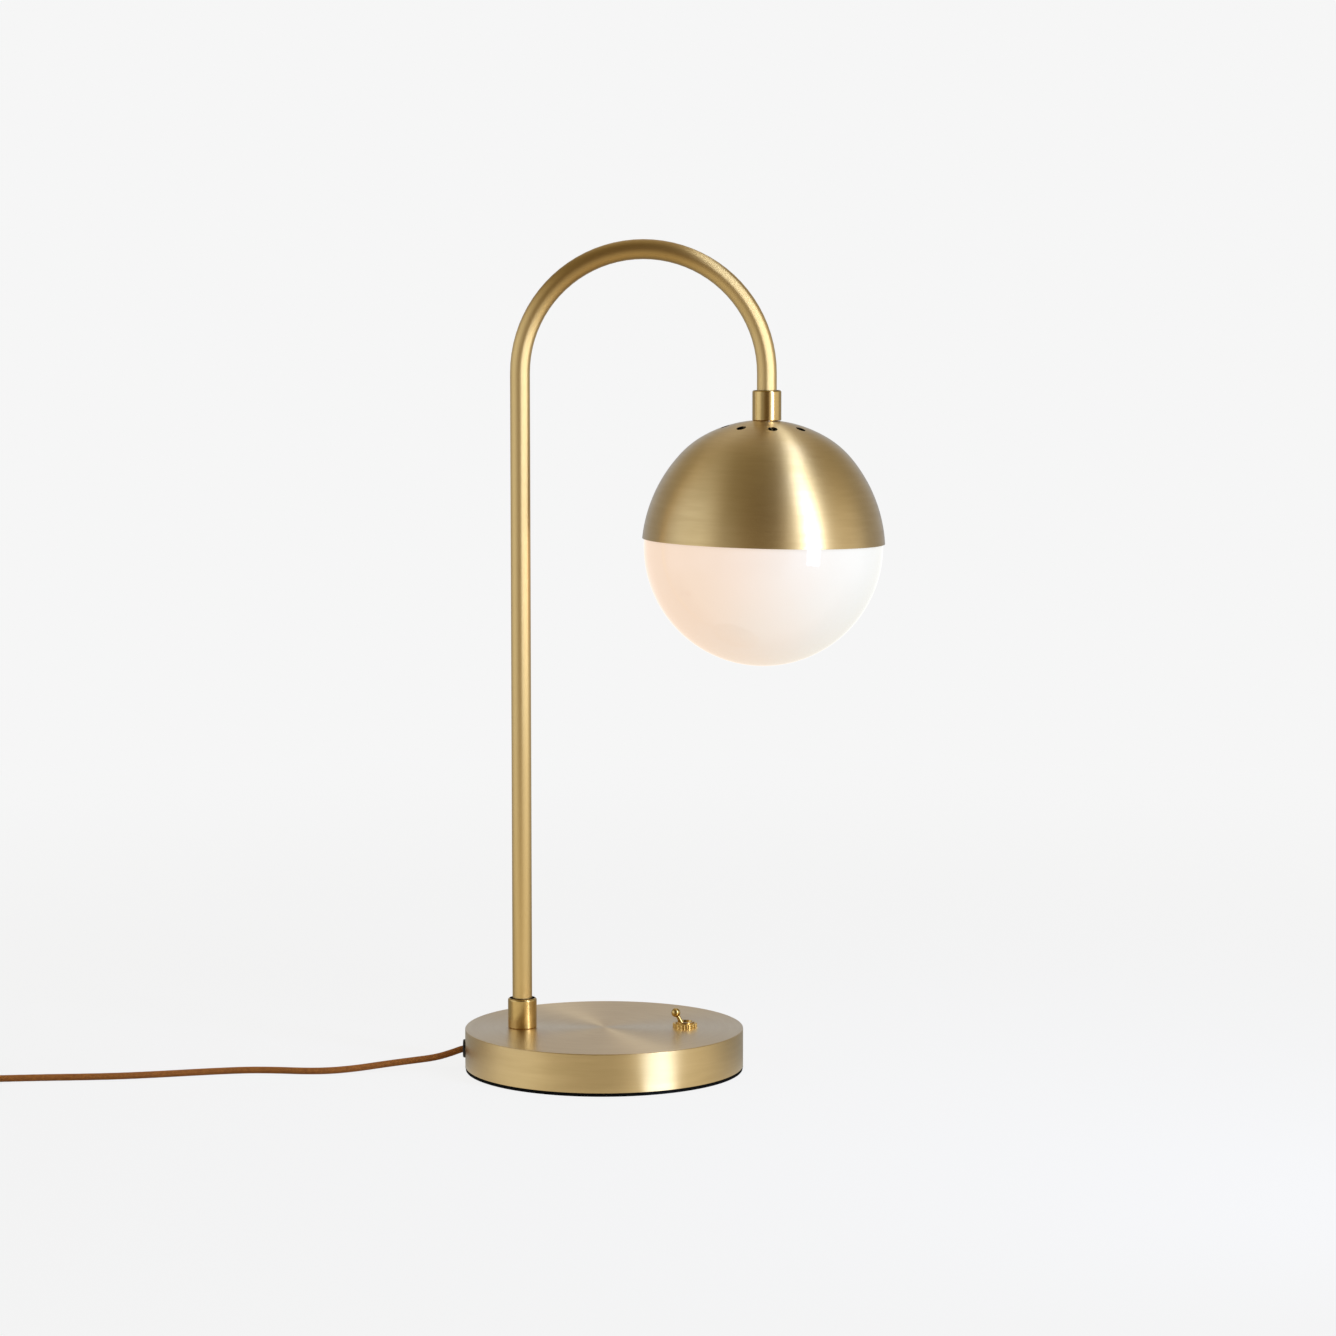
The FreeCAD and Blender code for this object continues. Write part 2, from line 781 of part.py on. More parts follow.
def dome_side(inset):
    """The dome's curve from the rim to the crown, set in from the outer face by a distance."""
    side = f"(side_arc - {inset})"
    shoulder = f"(shoulder_arc - {inset})"
    cap = f"(cap_arc - {inset})"
    flat = f"sqrt({cap} ^ 2 - (crown - {inset} - cap_z) ^ 2)"
    return [
        (f"side_x + sqrt({side} ^ 2 - side_z ^ 2)", 0, side, 1),
        (f"side_x + {side} * cos(side_high)", f"side_z + {side} * sin(side_high)", shoulder, 1),
        (f"{cap} * cos(shoulder_high)", f"cap_z + {cap} * sin(shoulder_high)", cap, 1),
        (flat, f"crown - {inset}"),
    ]


def head():
    """What hangs at the tube's end: collar, threads, dome, gallery and its fixings."""
    collar("head_collar", at=("head_x", 0, "head_z"))
    stud = tube_outline("nipple_radius", "nipple_bore",
                        "head_z + collar_socket + free_gap", "tube_tip + nipple_grip")
    spun("head_stud", stud, at=("head_x", 0, 0))
    nipple = tube_outline("nipple_radius", "nipple_bore",
                          "shade_nipple_low", "crown + collar_socket")
    spun("shade_nipple", nipple, HEAD)

    outer, inner = dome_side("0"), dome_side("dome_wall")
    inner_back = []
    for index in range(len(inner) - 1, -1, -1):
        across, along = inner[index][:2]
        if index > 0:
            inner_back.append((across, along, inner[index - 1][2], -1))
        else:
            inner_back.append((across, along))
    bore = "nipple_radius + socket_gap"
    dome = spun("dome_shade", outer + [(bore, "crown"), (bore, "crown - dome_wall")]
                + inner_back, HEAD)
    spot = ("vent_ring * sin(vent_turn)", "-vent_ring * cos(vent_turn)")
    vent = drill(dome, "dome_vent", [spot], "vent_radius")
    around(dome, "dome_vents", vent, "vent_count")

    spacer = tube_outline("spacer_radius", "hole_radius", "gallery_top", "crown_under")
    spun("gallery_spacer", spacer, HEAD)
    gallery = spun("glass_gallery", [
        ("hole_radius", "gallery_under"),
        ("gallery_bore", "gallery_under"),
        ("gallery_bore", "gallery_low"),
        ("gallery_bore + gallery_wall", "gallery_low"),
        ("gallery_bore + gallery_wall", "gallery_top - gallery_wall", "gallery_wall", 1),
        ("gallery_bore", "gallery_top"),
        ("hole_radius", "gallery_top"),
    ], HEAD)
    vent = drill(gallery, "gallery_vent", [("gallery_vent_ring", 0)], "gallery_vent_radius")
    around(gallery, "gallery_vents", vent, "gallery_vent_count")
    hex_nut("gallery_nut", "nut_flats", "hole_radius", "gallery_nut_thick", HEAD,
            at=(0, 0, "gallery_under - gallery_nut_thick"))


def lamp_holder():
    """The holder's cap, shell, core, thread sleeve, centre contact and terminal screws."""
    inside = "holder_radius - holder_wall"
    spun("holder_cap", [
        ("hole_radius", "holder_roof - holder_wall"),
        (inside, "holder_roof - holder_wall"),
        (inside, "holder_split"),
        ("holder_radius", "holder_split"),
        ("holder_radius", "holder_roof - holder_wall", "holder_wall", 1),
        (inside, "holder_roof"),
        ("holder_entry", "holder_roof"),
        ("holder_entry", "holder_entry_high"),
        ("hole_radius", "holder_entry_high"),
    ], HEAD)
    spun("holder_shell", [
        ("sleeve_radius + free_gap", "holder_mouth"),
        ("holder_radius - holder_wall", "holder_mouth"),
        ("holder_radius", "holder_mouth + holder_wall"),
        ("holder_radius", "holder_split - fit_gap"),
        ("core_radius", "holder_split - fit_gap"),
        ("core_radius", "sleeve_low + holder_wall"),
        ("sleeve_radius + free_gap", "sleeve_low + holder_wall"),
    ], HEAD)
    core = spun("holder_core", [
        (0, "core_low"), ("core_radius", "core_low"),
        ("core_radius", "core_high"), (0, "core_high"),
    ], HEAD)
    spots = [("-terminal_offset", 0), ("terminal_offset", 0)]
    drill(core, "core_terminal_holes", spots, "terminal_radius + fit_gap")
    spun("holder_sleeve", tube_outline("sleeve_radius", "sleeve_bore", "sleeve_low", "core_low"),
         HEAD)
    spun("holder_contact", [
        (0, "contact_low"), ("contact_radius", "contact_low"),
        ("contact_radius", "core_low"), (0, "core_low"),
    ], HEAD)
    screws = []
    for index, side in enumerate(("-terminal_offset", "terminal_offset")):
        top = cylinder(f"terminal_head_{index}", "terminal_head", "terminal_head_thick", HEAD,
                       at=(side, 0, "core_high"))
        shank = cylinder(f"terminal_shank_{index}", "terminal_radius",
                         "core_high - core_low", HEAD, at=(side, 0, "core_low"))
        screws.append(joined(f"terminal_screw_{index}", [top, shank]))
    keep(group("holder_screws", screws), "holder_screws")


def globe():
    """The glass globe with its threaded neck, and the ring that seals it to the gallery."""
    middle = "-globe_drop"
    inner_low = "shoulder_z - globe_wall"
    spun("glass_globe", [
        (0, f"{middle} - globe_radius", "globe_radius", 1),
        ("globe_radius", middle, "globe_radius", 1),
        ("shoulder_radius", "shoulder_z"),
        ("neck_radius", "shoulder_z"),
        ("neck_radius", "neck_top"),
        ("neck_bore", "neck_top"),
        ("neck_bore", inner_low),
        ("shoulder_inner", inner_low, "globe_bore", -1),
        ("globe_bore", middle, "globe_bore", -1),
        (0, f"{middle} - globe_bore"),
    ], HEAD)
    spun("globe_gasket", tube_outline("neck_radius", "neck_bore", "neck_top",
                                      "neck_top + gasket_thick"), HEAD)


def bulb():
    """The bulb: metal cap with its insulator and tip, glass envelope, stem and filaments."""
    spun("bulb_cap", [
        ("bulb_cap_radius - bulb_cap_wall", "bulb_cap_low"),
        ("bulb_cap_radius", "bulb_cap_low"),
        ("bulb_cap_radius", "bulb_cap_high"),
        ("bulb_cap_radius - bulb_cap_wall", "bulb_cap_high"),
    ], HEAD)
    spun("bulb_insulator", [
        (0, "bulb_cap_high"),
        ("bulb_cap_radius", "bulb_cap_high"),
        ("bulb_tip_radius", "tip_low"),
        (0, "tip_low"),
    ], HEAD)
    spun("bulb_tip", [
        (0, "tip_low"), ("bulb_tip_radius", "tip_low"),
        ("bulb_tip_radius - bulb_cap_wall", "tip_high"), (0, "tip_high"),
    ], HEAD)
    neck_inner = "bulb_neck - bulb_wall"
    bore = "(bulb_radius - bulb_wall)"
    spun("bulb_envelope", [
        (0, "-bulb_drop - bulb_radius", "bulb_radius", 1),
        ("bulb_radius", "-bulb_drop", "bulb_radius", 1),
        ("bulb_neck", "-bulb_drop + sqrt(bulb_radius ^ 2 - bulb_neck ^ 2)"),
        ("bulb_neck", "bulb_cap_low - fit_gap"),
        ("bulb_seat", "bulb_cap_low - fit_gap"),
        ("bulb_seat", "bulb_neck_high"),
        ("bulb_seat - bulb_wall", "bulb_neck_high"),
        ("bulb_seat - bulb_wall", "bulb_cap_low - bulb_wall"),
        (neck_inner, f"-bulb_drop + sqrt({bore} ^ 2 - ({neck_inner}) ^ 2)", bore, -1),
        (bore, "-bulb_drop", bore, -1),
        (0, f"-bulb_drop - {bore}"),
    ], HEAD)
    spun("bulb_stem", [
        (0, "stem_low"), ("stem_radius", "stem_low"), ("stem_radius", "stem_flare_low"),
        ("stem_flare", "stem_flare_low"), ("stem_flare", "stem_flare_high"),
        (0, "stem_flare_high"),
    ], HEAD)
    sticks = []
    for index in range(int(worth("filament_count"))):
        turn = f"({index} * 360 / filament_count)"
        spot = (f"filament_ring * cos({turn})", f"filament_ring * sin({turn})",
                "filament_high - filament_length")
        sticks.append(cylinder(f"filament_{index}", "filament_radius", "filament_length",
                               HEAD, at=spot))
    keep(group("bulb_filaments", sticks), "bulb_filaments")


def switch():
    """The toggle switch: bushing, nuts, case, lever with its plunger, rocker and terminals."""
    spun("switch_bushing", [
        ("bushing_bore", "bushing_low"),
        ("bushing_radius", "bushing_low"),
        ("bushing_radius", "bushing_high"),
        ("bushing_mouth", "bushing_high"),
        ("bushing_bore", "pivot_z + bushing_flare"),
    ], at=("switch_x", 0, 0))
    bushing = PARTS[-1]
    drill(bushing, "bushing_pin_hole", [(0, "pivot_z")], "pin_radius + fit_gap",
          "bushing_radius", "XZ_Plane", True)
    drill(bushing, "bushing_pin_hole_back", [(0, "pivot_z")], "pin_radius + fit_gap",
          "bushing_radius", "XZ_Plane", False)
    dress = spun("switch_dress_nut", [
        ("bushing_radius + fit_gap", 0),
        ("dress_radius", 0),
        ("dress_radius", "dress_thick - dress_round", "dress_round", 1),
        ("dress_radius - dress_round", "dress_thick"),
        ("bushing_radius + fit_gap", "dress_thick"),
    ], at=("switch_x", 0, "base_height"))
    notch = drill(dress, "dress_notch_cut", [("dress_radius + dress_notch / 2", 0)],
                  "dress_notch")
    around(dress, "dress_notches", notch, "dress_notch_count")
    hex_nut("switch_back_nut", "back_nut_flats", "bushing_radius + fit_gap", "back_nut_thick",
            at=("switch_x", 0, "cover_under - back_nut_thick"))

    outside = block("case_outside", "case_length", "case_width", "bushing_low - case_low",
                    at=("switch_x", 0, "case_low"))
    inside = block("case_inside", "case_length - 2 * case_wall", "case_width - 2 * case_wall",
                   "bushing_low - case_low - case_wall", at=("switch_x", 0, "case_low"))
    hole = cylinder("case_hole", "case_mouth", "base_height", at=("switch_x", 0, "case_low"))
    keep(cut_from("switch_case", outside, [inside, hole]), "switch_case")

    contact = "(switch_x + contact_reach)"
    floor = block("floor_plate", "case_length", "case_width", "floor_thick",
                  at=("switch_x", 0, "floor_low"))
    slots = []
    for index, spot in enumerate(("switch_x", contact)):
        slots.append(block(f"floor_slot_{index}", "blade_thick + 2 * fit_gap",
                           "blade_width + 2 * fit_gap", "base_height", at=(spot, 0, 0)))
    keep(cut_from("switch_floor", floor, slots), "switch_floor")
    common = block("common_blade", "blade_thick", "blade_width",
                   "rocker_z - rocker_boss - free_gap - terminal_low",
                   at=("switch_x", 0, "terminal_low"))
    live = block("live_blade", "blade_thick", "blade_width", "contact_top - terminal_low",
                 at=(contact, 0, "terminal_low"))
    keep(group("switch_terminals", [common, live]), "switch_terminals")

    lever = spun("switch_lever", [
        (0, "lever_length + lever_ball", "lever_ball", -1),
        ("lever_ball", "lever_length", "lever_ball", -1),
        ("lever_neck", "lever_length - sqrt(lever_ball ^ 2 - lever_neck ^ 2)"),
        ("lever_root", "sqrt(joint_ball ^ 2 - lever_root ^ 2)", "joint_ball", -1),
        ("joint_ball", 0, "joint_ball", -1),
        ("tail_radius", "-sqrt(joint_ball ^ 2 - tail_radius ^ 2)"),
        ("tail_radius", "-tail_length"),
        (0, "-tail_length"),
    ], LEVER)
    drill(lever, "lever_pin_hole", [(0, 0)], "pin_radius + fit_gap", "base_height",
          "XZ_Plane", True)
    drill(lever, "lever_pin_hole_back", [(0, 0)], "pin_radius + fit_gap", "base_height",
          "XZ_Plane", False)
    spun("switch_plunger", [
        (0, "-tail_length"),
        (0, "-plunger_length", "plunger_radius", 1),
        ("plunger_radius", "-plunger_length + plunger_radius"),
        ("plunger_radius", "-tail_length"),
    ], LEVER)
    keep(cylinder("switch_pin", "pin_radius", "2 * pin_half", about=(1, 0, 0), turn=90,
                  at=("switch_x", "pin_half", "pivot_z")), "switch_pin")

    rocker = DOC.addObject("PartDesign::Body", "switch_rocker")
    outline = sketch_on(rocker, "rocker_outline", "XZ_Plane")
    reach = "rocker_arm * cos(rocker_rise)"
    rise = "rocker_arm * sin(rocker_rise)"
    half = "rocker_thick / 2"
    draw(outline, [
        ("-rocker_boss * cos(rocker_rise)", "-rocker_boss * sin(rocker_rise)", "rocker_boss", 1),
        ("rocker_boss * cos(rocker_rise)", "-rocker_boss * sin(rocker_rise)"),
        (reach, f"{rise} - {half}"),
        (reach, f"{rise} + {half}"),
        (0, half),
        (f"-{reach}", f"{rise} + {half}"),
        (f"-{reach}", f"{rise} - {half}"),
    ])
    slab = rocker.newObject("PartDesign::Pad", "rocker_slab")
    slab.Profile = outline
    slab.Midplane = True
    tie(slab, "Length", "rocker_width")
    place(rocker, at=("switch_x", 0, "rocker_z"), about=(0, 1, 0), turn="rocker_tilt")
    DOC.recompute()
    keep(rocker, "switch_rocker")


def cord_entry():
    """The grommet in the cover's wall, the clamp on the cord and the clamp's screws."""
    spun("cord_grommet", [
        ("cord_radius + free_gap", "-grommet_flange_thick"),
        ("grommet_flange - grommet_round", "-grommet_flange_thick"),
        ("grommet_flange", "grommet_round - grommet_flange_thick"),
        ("grommet_flange", 0),
        ("grommet_neck", 0),
        ("grommet_neck", "grommet_x - wall_in + free_gap"),
        ("grommet_lip", "grommet_x - wall_in + free_gap"),
        ("grommet_neck", "grommet_x - wall_in + free_gap + grommet_lip_thick"),
        ("cord_radius + free_gap", "grommet_x - wall_in + free_gap + grommet_lip_thick"),
    ], at=("-grommet_x", 0, "cord_z"), about=(0, 1, 0), turn=90)
    body = block("clamp_block", "clamp_depth", "clamp_width", "cavity_top - clamp_low",
                 at=("-clamp_x", 0, "clamp_low"))
    bore = cylinder("clamp_bore", "cord_radius + fit_gap", "clamp_depth", about=(0, 1, 0),
                    turn=90, at=("-clamp_x - clamp_depth / 2", 0, "cord_z"))
    tools, screws = [bore], []
    for index, side in enumerate(("-clamp_screw_spread", "clamp_screw_spread")):
        tools.append(cylinder(f"clamp_hole_{index}", "clamp_screw_radius + fit_gap", "base_height",
                              at=("-clamp_x", side, "clamp_low")))
        top = cylinder(f"clamp_head_{index}", "clamp_screw_head", "clamp_screw_head_thick",
                       at=("-clamp_x", side, "clamp_low - clamp_screw_head_thick"))
        shank = cylinder(f"clamp_shank_{index}", "clamp_screw_radius",
                         "cavity_top - clamp_low + clamp_screw_grip",
                         at=("-clamp_x", side, "clamp_low"))
        screws.append(joined(f"clamp_screw_{index}", [top, shank]))
    keep(cut_from("cord_clamp", body, tools), "cord_clamp")
    keep(group("clamp_screws", screws), "clamp_screws")


def wiring():
    """The sheathed cord's inner end, its two cores, and the two leads up the tube.

    The leads' bends stand on a grid, counted from the pieces that they run between.
    """
    inner = cylinder("sheath", "cord_radius", "cord_x - sheath_end", about=(0, 1, 0), turn=90,
                     at=("-cord_x", 0, "cord_z"))
    keep(inner, "cord_inner")
    offset, level = worth("lead_offset"), worth("cord_z")
    start, stem, low = -worth("sheath_end"), -worth("stem_x"), worth("lead_z")
    shut_x, shut_y = -worth("connector_x"), -worth("connector_y")
    shut_z = worth("connector_z")
    far, near = worth("switch_x + contact_reach"), worth("switch_x")
    grid, blade_side = worth("lead_grid"), worth("blade_width / 2 + lead_radius + fit_gap")
    cable("lead_live", [
        (start, offset, level), (start + 3.5 * grid, offset, level),
        (start + 6 * grid, offset + 5 * grid, level - 3.3 * grid),
        (start + 9 * grid, 11.5 * grid, low + grid), (stem + 10 * grid, 13 * grid, low),
        (far - 40 * grid, 13 * grid, low), (far - 12 * grid, 9 * grid, low),
        (far - 3 * grid, 6 * grid, low), (far, blade_side, low),
    ], "lead_radius")
    cable("lead_neutral", [
        (start, -offset, level), (start + 4 * grid, -offset, level),
        (start + 6.5 * grid, -offset - 4.5 * grid, level - 3 * grid),
        (start + 10 * grid, -12 * grid, low + 2 * grid), (stem + 8 * grid, shut_y - offset, shut_z),
        (shut_x - 8 * grid, shut_y - offset, shut_z - 0.1 * grid),
        (shut_x, shut_y - offset, shut_z - 0.1 * grid),
    ], "lead_radius")
    arch, top, head_x = worth("arch_radius"), worth("arch_z"), worth("head_x")
    end = worth("rim_z + core_high + terminal_head_thick + lead_radius")

    def riser(label, side, feed):
        """A lead from under the foot's nipple, up the tube and round its arch, to the holder."""
        bend = worth("nipple_low") - low
        climb = Part.LineSegment(Vector(stem, side, low + bend), Vector(stem, side, top))
        over = Part.Arc(Vector(stem, side, top), Vector(stem + arch, side, top + arch),
                        Vector(head_x, side, top))
        fall = Part.LineSegment(Vector(head_x, side, top), Vector(head_x, side, end))
        corner = bend * (1 - math.sqrt(0.5))
        turn = Part.Arc(Vector(stem + bend, side, low),
                        Vector(stem + corner, side, low + corner), Vector(stem, side, low + bend))
        lower, _ = arc_wire(feed + [(stem + bend, side, low)])
        edges = lower.Edges + [item.toShape() for item in (turn, climb, over, fall)]
        wire = Part.Wire(edges)
        solid = tube_along(wire, worth("lead_radius"))
        share = solid.Volume / (math.pi * worth("lead_radius") ** 2 * wire.Length)
        print(f"{label}: length {wire.Length:.1f}, volume share {share:.4f}")
        piece = DOC.addObject("Part::Feature", label)
        piece.Shape = solid
        piece.Placement = FreeCAD.Placement()
        keep(piece, label)

    riser("riser_neutral", -offset, [
        (shut_x, shut_y + offset, shut_z), (shut_x - 4 * grid, shut_y + offset, shut_z),
        (shut_x - 8 * grid, shut_y + offset + 2 * grid, low + 0.4 * grid),
        (stem + 12 * grid, -offset - 2 * grid, low), (stem + 9 * grid, -offset, low),
    ])
    riser("riser_live", offset, [
        (near, blade_side, low), (near - 8 * grid, 5 * grid, low), (near - 26 * grid, 6 * grid, low),
        (stem + 24 * grid, 4 * grid, low), (stem + 13 * grid, offset + grid, low),
        (stem + 9 * grid, offset, low),
    ])
    keep(cylinder("connector", "connector_radius", "connector_length", about=(0, 1, 0), turn=90,
                  at=("-connector_x", "-connector_y", "connector_z")), "wire_connector")


def cord_and_plug():
    """The cord on the table, its coil and tie, and the plug with its pins."""
    cable("cord_run", CORD_RUN, "cord_radius")
    cable("cord_tail", CORD_TAIL, "cord_radius")
    low, high, edge = "coil_low", "coil_high", "coil_round"
    spun("cord_coil", [
        (f"coil_inner + {edge}", low),
        (f"coil_outer - {edge}", low, edge, 1),
        ("coil_outer", f"{low} + {edge}"),
        ("coil_outer", f"{high} - {edge}", edge, 1),
        (f"coil_outer - {edge}", high),
        (f"coil_inner + {edge}", high, edge, 1),
        ("coil_inner", f"{high} - {edge}"),
        ("coil_inner", f"{low} + {edge}", edge, 1),
    ], at=("coil_x", "coil_y", 0))
    span = "coil_outer - coil_inner + 2 * tie_gap"
    middle = "coil_y + (coil_outer + coil_inner) / 2"
    strap = block("tie_outside", "tie_width", f"{span} + 2 * tie_thick",
                  "coil_high - coil_low + 2 * tie_thick + 2 * fit_gap",
                  at=("coil_x", middle, "coil_low - tie_thick - fit_gap"))
    hole = block("tie_inside", "2 * tie_width", span, "coil_high - coil_low + 2 * fit_gap",
                 at=("coil_x", middle, "coil_low - fit_gap"))
    keep(cut_from("cord_tie", strap, [hole]), "cord_tie")

    plug = DOC.addObject("PartDesign::Body", "plug_body")
    outline = sketch_on(plug, "plug_outline", "XY_Plane")
    half, back = "(plug_width / 2)", "(plug_back / 2)"
    draw(outline, [
        (half, 0), (half, "-plug_straight"), (back, "-plug_length"),
        (f"-{back}", "-plug_length"), (f"-{half}", "-plug_straight"), (f"-{half}", 0),
    ])
    slab = plug.newObject("PartDesign::Pad", "plug_slab")
    slab.Profile = outline
    slab.Midplane = True
    tie(slab, "Length", "plug_thick")
    DOC.recompute()
    soft = plug.newObject("PartDesign::Fillet", "plug_soft_edges")
    soft.Base = (slab, [f"Edge{index + 1}" for index in range(len(slab.Shape.Edges))])
    tie(soft, "Radius", "plug_edge")
    DOC.recompute()
    sleeve = sketch_on(plug, "relief_outline", "XY_Plane")
    draw(sleeve, [
        (0, "-plug_length + plug_edge"),
        (0, "-plug_length - relief_length"),
        ("relief_tip", "-plug_length - relief_length"),
        ("relief_root", "-plug_length"),
        ("relief_root", "-plug_length + plug_edge"),
    ])
    relief = plug.newObject("PartDesign::Revolution", "plug_relief")
    relief.Profile = sleeve
    relief.ReferenceAxis = (sleeve, ["V_Axis"])
    relief.Angle = 360
    place(plug, at=("plug_x", "plug_y", "plug_z"))
    DOC.recompute()
    for index, side in enumerate(("-prong_spread", "prong_spread")):
        drill(plug, f"prong_hole_{index}", [(side, 0)], "prong_core", "prong_grip",
              "XZ_Plane")
    keep(plug, "plug_body")
    prongs, sleeves = [], []
    for index, side in enumerate(("-prong_spread", "prong_spread")):
        seat = {"at": (f"plug_x + {side}", "plug_y", "plug_z"), "about": (1, 0, 0), "turn": -90}
        prongs.append(turned(f"prong_{index}", [
            (0, "-prong_grip"), ("prong_core", "-prong_grip"),
            ("prong_core", "prong_sleeve_length"), ("prong_radius", "prong_sleeve_length"),
            ("prong_radius", "prong_length - prong_round", "prong_round", 1),
            ("prong_radius - prong_round", "prong_length"), (0, "prong_length"),
        ], **seat))
        sleeves.append(turned(f"prong_sleeve_{index}", tube_outline(
            "prong_sleeve", "prong_core", 0, "prong_sleeve_length"), **seat))
    keep(group("plug_pins", prongs), "plug_pins")
    keep(group("pin_sleeves", sleeves), "pin_sleeves")


def write_parts():
    """Check every object, then write each sub-part to its own file."""
    DOC.recompute()
    for thing in DOC.Objects:
        if "Invalid" in thing.State or "Error" in thing.State:
            raise ValueError(f"{thing.Label} failed: {thing.State}")
    for thing in PARTS:
        if thing.Shape.isNull() or not thing.Shape.isValid():
            raise ValueError(f"{thing.Label} has no valid shape")
    os.makedirs("parts", exist_ok=True)
    for thing in PARTS:
        thing.Shape.exportStep(f"parts/{thing.Label}.step")
    print(len(PARTS), "parts written")


SHEET = fill_sheet("Sizes", [(word, str(value)) for word, value in SIZES.items()])
fill_sheet("Worked", [(word, "=" + full(text)) for word, text in WORKED.items()])

base_shell()
pole()
head()
lamp_holder()
globe()
bulb()
switch()
cord_entry()
wiring()
cord_and_plug()
write_parts()
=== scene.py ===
"""The looks of a glass globe table lamp: metres, +Z up, origin in the middle of the base's underside."""

import json
import logging
import math
from collections.abc import Sequence
from dataclasses import dataclass, field
from enum import Enum
from typing import Any, ClassVar

import bmesh
import bpy
from mathutils import Matrix, Vector

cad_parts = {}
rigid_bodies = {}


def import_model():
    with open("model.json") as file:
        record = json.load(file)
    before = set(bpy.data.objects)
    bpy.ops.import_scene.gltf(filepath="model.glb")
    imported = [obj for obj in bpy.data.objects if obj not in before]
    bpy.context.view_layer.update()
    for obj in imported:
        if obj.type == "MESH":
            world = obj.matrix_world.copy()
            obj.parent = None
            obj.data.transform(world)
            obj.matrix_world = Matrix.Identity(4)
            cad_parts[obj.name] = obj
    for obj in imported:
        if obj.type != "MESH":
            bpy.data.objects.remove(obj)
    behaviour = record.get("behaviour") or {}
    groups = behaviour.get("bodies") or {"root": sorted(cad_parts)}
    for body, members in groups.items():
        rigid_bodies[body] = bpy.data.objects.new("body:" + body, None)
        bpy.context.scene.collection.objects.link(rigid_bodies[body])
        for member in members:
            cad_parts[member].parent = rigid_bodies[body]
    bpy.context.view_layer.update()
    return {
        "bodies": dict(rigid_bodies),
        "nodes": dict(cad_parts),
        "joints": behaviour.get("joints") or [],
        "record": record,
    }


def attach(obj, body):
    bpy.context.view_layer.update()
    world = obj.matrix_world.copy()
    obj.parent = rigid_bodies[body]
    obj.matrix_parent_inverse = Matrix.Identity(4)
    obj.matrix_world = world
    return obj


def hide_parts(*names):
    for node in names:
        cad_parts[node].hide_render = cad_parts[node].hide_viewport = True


log = logging.getLogger("globe_lamp")

Point = tuple[float, float, float]
Colour = tuple[float, float, float]

# Where a noise turns from a finish's first colour into its second.
PATCHY = (0.3, 0.7)


class Value:
    """A socket of a shader graph, on which Python's arithmetic adds Math nodes."""

    def __init__(self, graph: "Graph", socket: bpy.types.NodeSocket) -> None:
        """Keeps the graph and one of its output sockets."""
        self.graph = graph
        self.socket = socket

    def __add__(self, other: Any) -> "Value":
        """Sum."""
        return self.graph.maths("ADD", self, other)

    __radd__ = __add__

    def __sub__(self, other: Any) -> "Value":
        """Difference."""
        return self.graph.maths("SUBTRACT", self, other)

    def __rsub__(self, other: Any) -> "Value":
        """Difference from a number."""
        return self.graph.maths("SUBTRACT", other, self)

    def __mul__(self, other: Any) -> "Value":
        """Product."""
        return self.graph.maths("MULTIPLY", self, other)

    __rmul__ = __mul__

    def __truediv__(self, other: Any) -> "Value":
        """Quotient."""
        return self.graph.maths("DIVIDE", self, other)

    def __pow__(self, other: Any) -> "Value":
        """Power."""
        return self.graph.maths("POWER", self, other)

    def __mod__(self, other: Any) -> "Value":
        """Remainder, which is never negative."""
        return self.graph.maths("FLOORED_MODULO", self, other)

    def sine(self) -> "Value":
        """Sine of an angle in radians."""
        return self.graph.maths("SINE", self)

    def root(self) -> "Value":
        """Square root."""
        return self.graph.maths("SQRT", self)

    def floor(self) -> "Value":
        """The whole number below."""
        return self.graph.maths("FLOOR", self)

    def smooth(self, low: float, high: float, first: float = 0.0, last: float = 1.0) -> "Value":
        """A soft step.

        Args:
            low: Where the step starts.
            high: Where it ends.
            first: The result before it.
            last: The result after it.

        Returns:
            The stepped value.
        """
        return self.graph.node(
            "ShaderNodeMapRange",
            {"interpolation_type": "SMOOTHSTEP"},
            {"Value": self, "From Min": low, "From Max": high, "To Min": first, "To Max": last},
        )


